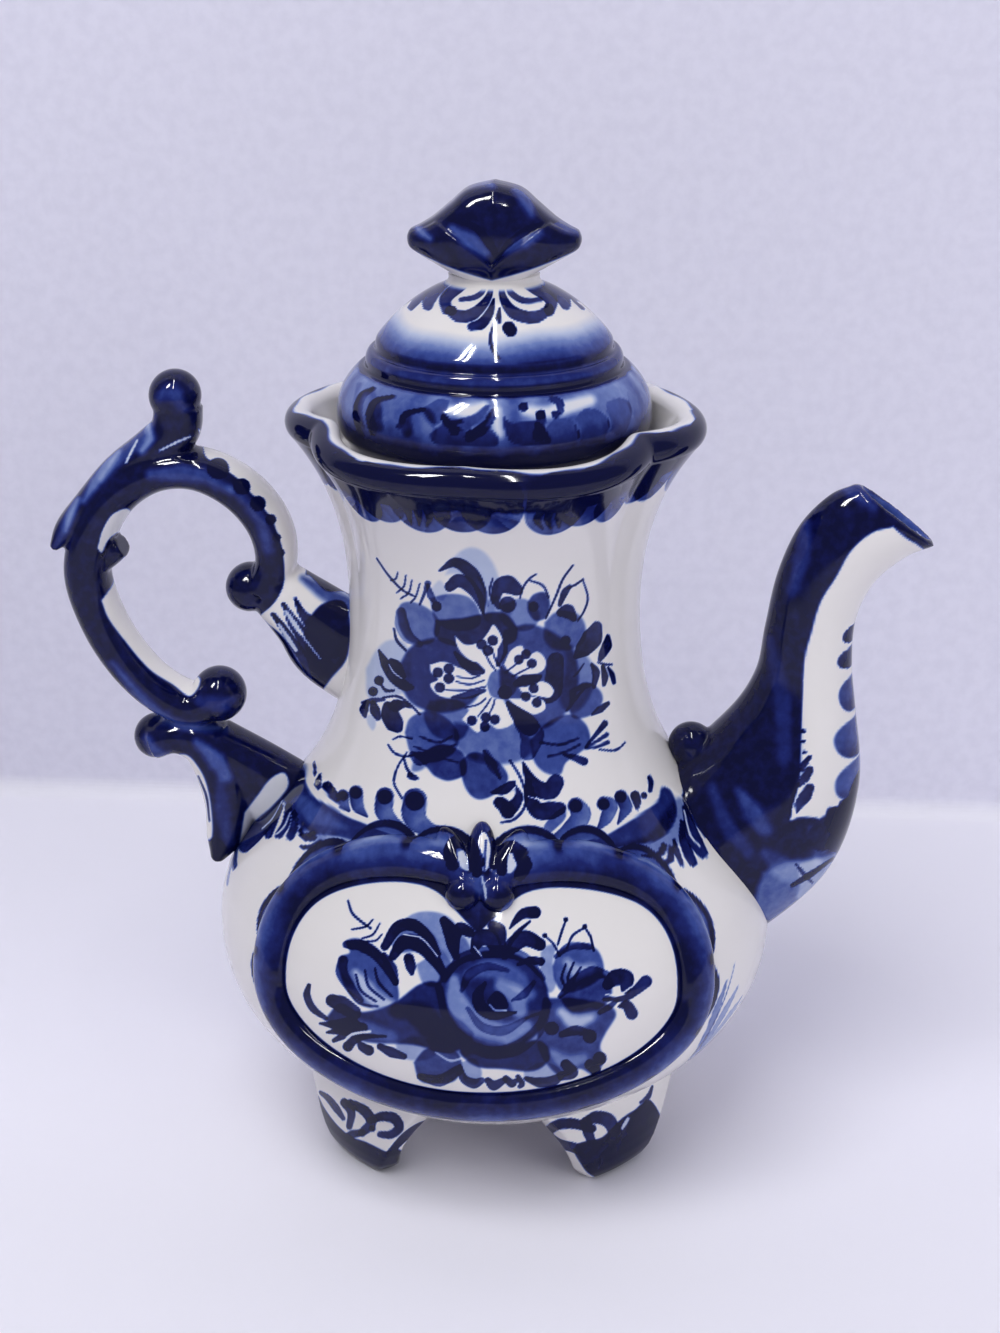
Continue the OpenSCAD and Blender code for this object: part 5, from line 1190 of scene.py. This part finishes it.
def makeLid(material):
    angles = -math.pi, math.pi
    shell, angle, run = sheetPiece("lidDome", lidSurface, angles, (lidRun[-1], 0), lid["spacing"])
    dress(shell, paintLid(angle, run), material, "lid", "porcelain_lid", "lid")
    drillSteamHole(shell)
    low, wall, edge, foot = lid["low"], lid["wall"], lid["radius"] - 3, lid["collarLow"]
    outer, inner = lid["collarRadius"], lid["collarRadius"] - lid["collarWall"]
    dome = [(r - wall * 0.8, z - wall * 0.6) for r, z in lidSide[::-6] if z > lidWideZ + 4 and r > 12]
    hollow = [(edge, low + 0.8), (edge - 0.6, low), (outer, low), (inner, low), (inner, low + lid["flange"]),
              *dome, (0.01, lidTopZ - wall - 1), (0.01, lidTopZ - wall + 0.6)]
    collar = [(inner, foot + 0.9), (inner + 0.8, foot), (outer - 0.8, foot), (outer, foot + 0.9),
              (outer, low + 0.1), (inner, low + 0.1)]
    for name, profile, slot, node in (("lidHollow", hollow, "porcelain_lid", "lid"),
                                      ("lidCollar", collar, "porcelain_collar", "lid_collar")):
        bare = revolve(name, profile, lid["spinSteps"])
        dress(bare, np.zeros(len(bare.data.vertices)), material, "lid", slot, node)
    bm = bmesh.new()
    ringSkin(bm, knobRings())
    bud = fuse("lidKnob", bm, knob["voxel"], knob["softness"])
    spots = spotsOf(bud)
    above = ease((spots[:, 2] - lidTopZ - 2 - 0.3 * np.abs(spots[:, 0])) / 0.8)     # its foot is left bare
    dress(bud, paintSide(bud, knobPaint, 0.95) * above, material, "lid", "cobalt_knob", "lid_knob")
    print("lid made")


# shading
def feed(tree, node, inputs):         # gives inputs their values, or links them to other nodes' outputs
    for name, value in inputs.items():
        if isinstance(value, bpy.types.NodeSocket):
            tree.links.new(value, node.inputs[name])
        else:
            node.inputs[name].default_value = value


def addNode(tree, kind, inputs=None, **settings):
    node = tree.nodes.new(kind)
    for name, value in settings.items():
        setattr(node, name, value)
    feed(tree, node, inputs or {})
    return node


def addTimes(tree, first, second):
    return addNode(tree, "ShaderNodeMath", {0: first, 1: second}, operation="MULTIPLY").outputs[0]


def addRange(tree, value, ends):
    return addNode(tree, "ShaderNodeMapRange", {"Value": value, **ends}).outputs["Result"]


def addNoise(tree, scale, detail):    # noise that keeps its place on the object
    place = addNode(tree, "ShaderNodeTexCoord").outputs["Object"]
    noise = addNode(tree, "ShaderNodeTexNoise", {"Vector": place, "Scale": scale, "Detail": detail})
    return noise.outputs["Fac"]


def addRamp(tree, value, stops):
    ramp = addNode(tree, "ShaderNodeValToRGB", {"Fac": value})
    elements = ramp.color_ramp.elements
    for spot, (at, tone) in enumerate(stops):
        stop = elements[spot] if spot < 2 else elements.new(at)
        stop.position = at
        stop.color = (*tone, 1)
    return ramp.outputs["Color"]


def addMaterial(name):
    material = bpy.data.materials.new(name)
    material.use_nodes = True
    return material, material.node_tree, material.node_tree.nodes["Principled BSDF"]


# glaze: cobalt under clear glass, so the more of it lies on the porcelain the deeper the blue
glaze = dict(roughness=0.07, ior=1.45, specular=0.32, washScale=420, washDetail=4,
             washRange={"From Min": 0.3, "From Max": 0.7, "To Min": 0.9, "To Max": 1.1},
             waveScale=95, waveDetail=1, waveStrength=0.12, waveHeight=0.0006,
             tones=[(0.0, (0.75, 0.725, 0.715)), (0.12, (0.43, 0.49, 0.66)), (0.3, (0.15, 0.21, 0.46)),
                    (0.48, (0.038, 0.068, 0.28)), (0.68, (0.010, 0.018, 0.135)),
                    (0.88, (0.004, 0.006, 0.062)), (1.0, (0.002, 0.003, 0.032))])


def cobaltGroup():
    group = bpy.data.node_groups.new("cobaltTone", "ShaderNodeTree")
    group.interface.new_socket("Cobalt", in_out="INPUT", socket_type="NodeSocketFloat")
    group.interface.new_socket("Color", in_out="OUTPUT", socket_type="NodeSocketColor")
    load = addNode(group, "NodeGroupInput").outputs["Cobalt"]
    uneven = addNoise(group, glaze["washScale"], glaze["washDetail"])   # a wash never lies quite even
    load = addTimes(group, load, addRange(group, uneven, glaze["washRange"]))
    color = addRamp(group, load, glaze["tones"])
    addNode(group, "NodeGroupOutput", {"Color": color})
    return group


def glazedPorcelain(name, group):
    material, tree, shader = addMaterial(name)
    cobalt = addNode(tree, "ShaderNodeAttribute", attribute_name="cobalt").outputs["Fac"]
    tone = addNode(tree, "ShaderNodeGroup", {"Cobalt": cobalt}, node_tree=group).outputs["Color"]
    wave = addNoise(tree, glaze["waveScale"], glaze["waveDetail"])      # the soft waves of a poured glaze
    bump = addNode(tree, "ShaderNodeBump", {"Height": wave, "Strength": glaze["waveStrength"],
                                            "Distance": glaze["waveHeight"]}).outputs["Normal"]
    feed(tree, shader, {"Roughness": glaze["roughness"], "IOR": glaze["ior"],
                        "Specular IOR Level": glaze["specular"], "Base Color": tone, "Normal": bump})
    return material


# the room: a pale table that sweeps up into a wall, lamps and the camera
wall = dict(behind=0.175, sweep=0.006, width=3.2, height=2.4, roughness=0.85, mottleScale=240, mottleDetail=6,
            tones=[(0.35, (0.71, 0.70, 0.82)), (0.62, (0.75, 0.74, 0.86))], table=(0.86, 0.85, 0.92, 1))


def backdropMaterial():
    material, tree, shader = addMaterial("paleWall")
    mottle = addRamp(tree, addNoise(tree, wall["mottleScale"], wall["mottleDetail"]), wall["tones"])
    place = addNode(tree, "ShaderNodeTexCoord").outputs["Object"]
    height = addNode(tree, "ShaderNodeSeparateXYZ", {"Vector": place}).outputs["Z"]
    rise = addRange(tree, height, {"From Max": wall["sweep"]})
    tone = addNode(tree, "ShaderNodeMix", {0: rise, 6: wall["table"], 7: mottle}, data_type="RGBA").outputs[2]
    feed(tree, shader, {"Roughness": wall["roughness"], "Base Color": tone})
    camera = addNode(tree, "ShaderNodeLightPath").outputs["Is Camera Ray"]
    behind = addNode(tree, "ShaderNodeNewGeometry").outputs["Backfacing"]
    seen = addTimes(tree, camera, behind)      # a camera behind the wall looks through it
    clear = addNode(tree, "ShaderNodeBsdfTransparent").outputs["BSDF"]
    blend = addNode(tree, "ShaderNodeMixShader", {0: seen, 1: shader.outputs["BSDF"], 2: clear})
    feed(tree, tree.nodes["Material Output"], {"Surface": blend.outputs["Shader"]})
    return material


def makeStage():
    half = wall["width"] / 2
    bm = bmesh.new()
    bmesh.ops.create_grid(bm, x_segments=1, y_segments=1, size=half)
    edge = [e for e in bm.edges if all(v.co.y > 1 for v in e.verts)]
    raised = bmesh.ops.extrude_edge_only(bm, edges=edge)["geom"]
    bmesh.ops.translate(bm, verts=[g for g in raised if isinstance(g, bmesh.types.BMVert)],
                        vec=(0, 0, wall["height"]))
    bmesh.ops.translate(bm, verts=bm.verts, vec=(0, wall["behind"] - half, 0))
    corner = [e for e in bm.edges if all(abs(v.co.z) < 1e-6 and v.co.y > 0 for v in e.verts)]
    bmesh.ops.bevel(bm, geom=corner, offset=wall["sweep"], offset_type="OFFSET", segments=8, profile=0.5,
                    affect="EDGES", material=-1)
    floor = addPiece("floor", bm)
    floor.data.materials.append(backdropMaterial())


room = dict(color=(0.85, 0.86, 1, 1), light=0.24, look=0.72, windowAway=0.75)     # it looks pale as the wall
lamps = dict(                 # place, aim, size, power, and whether it lights things or shines in the glaze
    skylight=((-0.4, -0.75, 1.4), (0, 0, 0.05), (1.1, 0.9), 14.5, "lit"),
    fill=((1.1, -1.0, 0.6), (0, 0, 0.1), (0.8, 0.9), 6.5, "lit"),
    frontStrip=((0.045, -0.42, 1.6), (0, 0, 0.2), (0.035, 1.2), 14, "mirrored"),
    **{name: ((room["windowAway"] * math.sin(turn), -room["windowAway"] * math.cos(turn), 1.5), (0, 0, 0.12),
              (0.05, 0.5), 11, "mirrored") for name, turn in (("windowA", -0.78), ("windowB", -0.62))})


def lightRoom():
    for name, (place, aim, size, power, use) in lamps.items():
        lamp = bpy.data.lights.new(name, "AREA")
        lamp.shape = "RECTANGLE"
        lamp.size, lamp.size_y = size
        lamp.energy = power
        holder = addObject(name, lamp)
        holder.location = place
        holder.rotation_euler = (Vector(aim) - Vector(place)).to_track_quat("-Z", "Y").to_euler()
        holder.visible_glossy = use == "mirrored"
        holder.visible_diffuse = use == "lit"
    world = bpy.data.worlds.new("room")
    world.use_nodes = True
    tree = world.node_tree
    camera = addNode(tree, "ShaderNodeLightPath").outputs["Is Camera Ray"]
    shine = addRange(tree, camera, {"To Min": room["light"], "To Max": room["look"]})
    feed(tree, tree.nodes["Background"], {"Color": room["color"], "Strength": shine})
    bpy.context.scene.world = world
    bpy.context.scene.view_settings.view_transform = "Standard"


view = dict(away=0.484, high=0.308, turn=3.5, tilt=21.5, lens=59.41, slide=0.00125)


def placeCamera():
    lens = bpy.data.cameras.new("camera")
    lens.sensor_fit = "VERTICAL"
    lens.sensor_height = 36
    lens.lens = view["lens"]
    camera = addObject("camera", lens)
    turn = math.radians(view["turn"])
    camera.location = (view["away"] * math.sin(turn) + view["slide"] * math.cos(turn),
                       -view["away"] * math.cos(turn) + view["slide"] * math.sin(turn), view["high"])
    camera.rotation_euler = (math.radians(90 - view["tilt"]), 0, turn)
    bpy.context.scene.camera = camera


cobalt = cobaltGroup()
for make, name in ((makePot, "paintedBody"), (makeFrames, "paintedFrame"), (makeSpout, "paintedSpout"),
                   (makeHandle, "paintedHandle"), (makeFeet, "paintedFeet"), (makeLid, "paintedLid")):
    make(glazedPorcelain(name, cobalt))
makeStage()
lightRoom()
placeCamera()
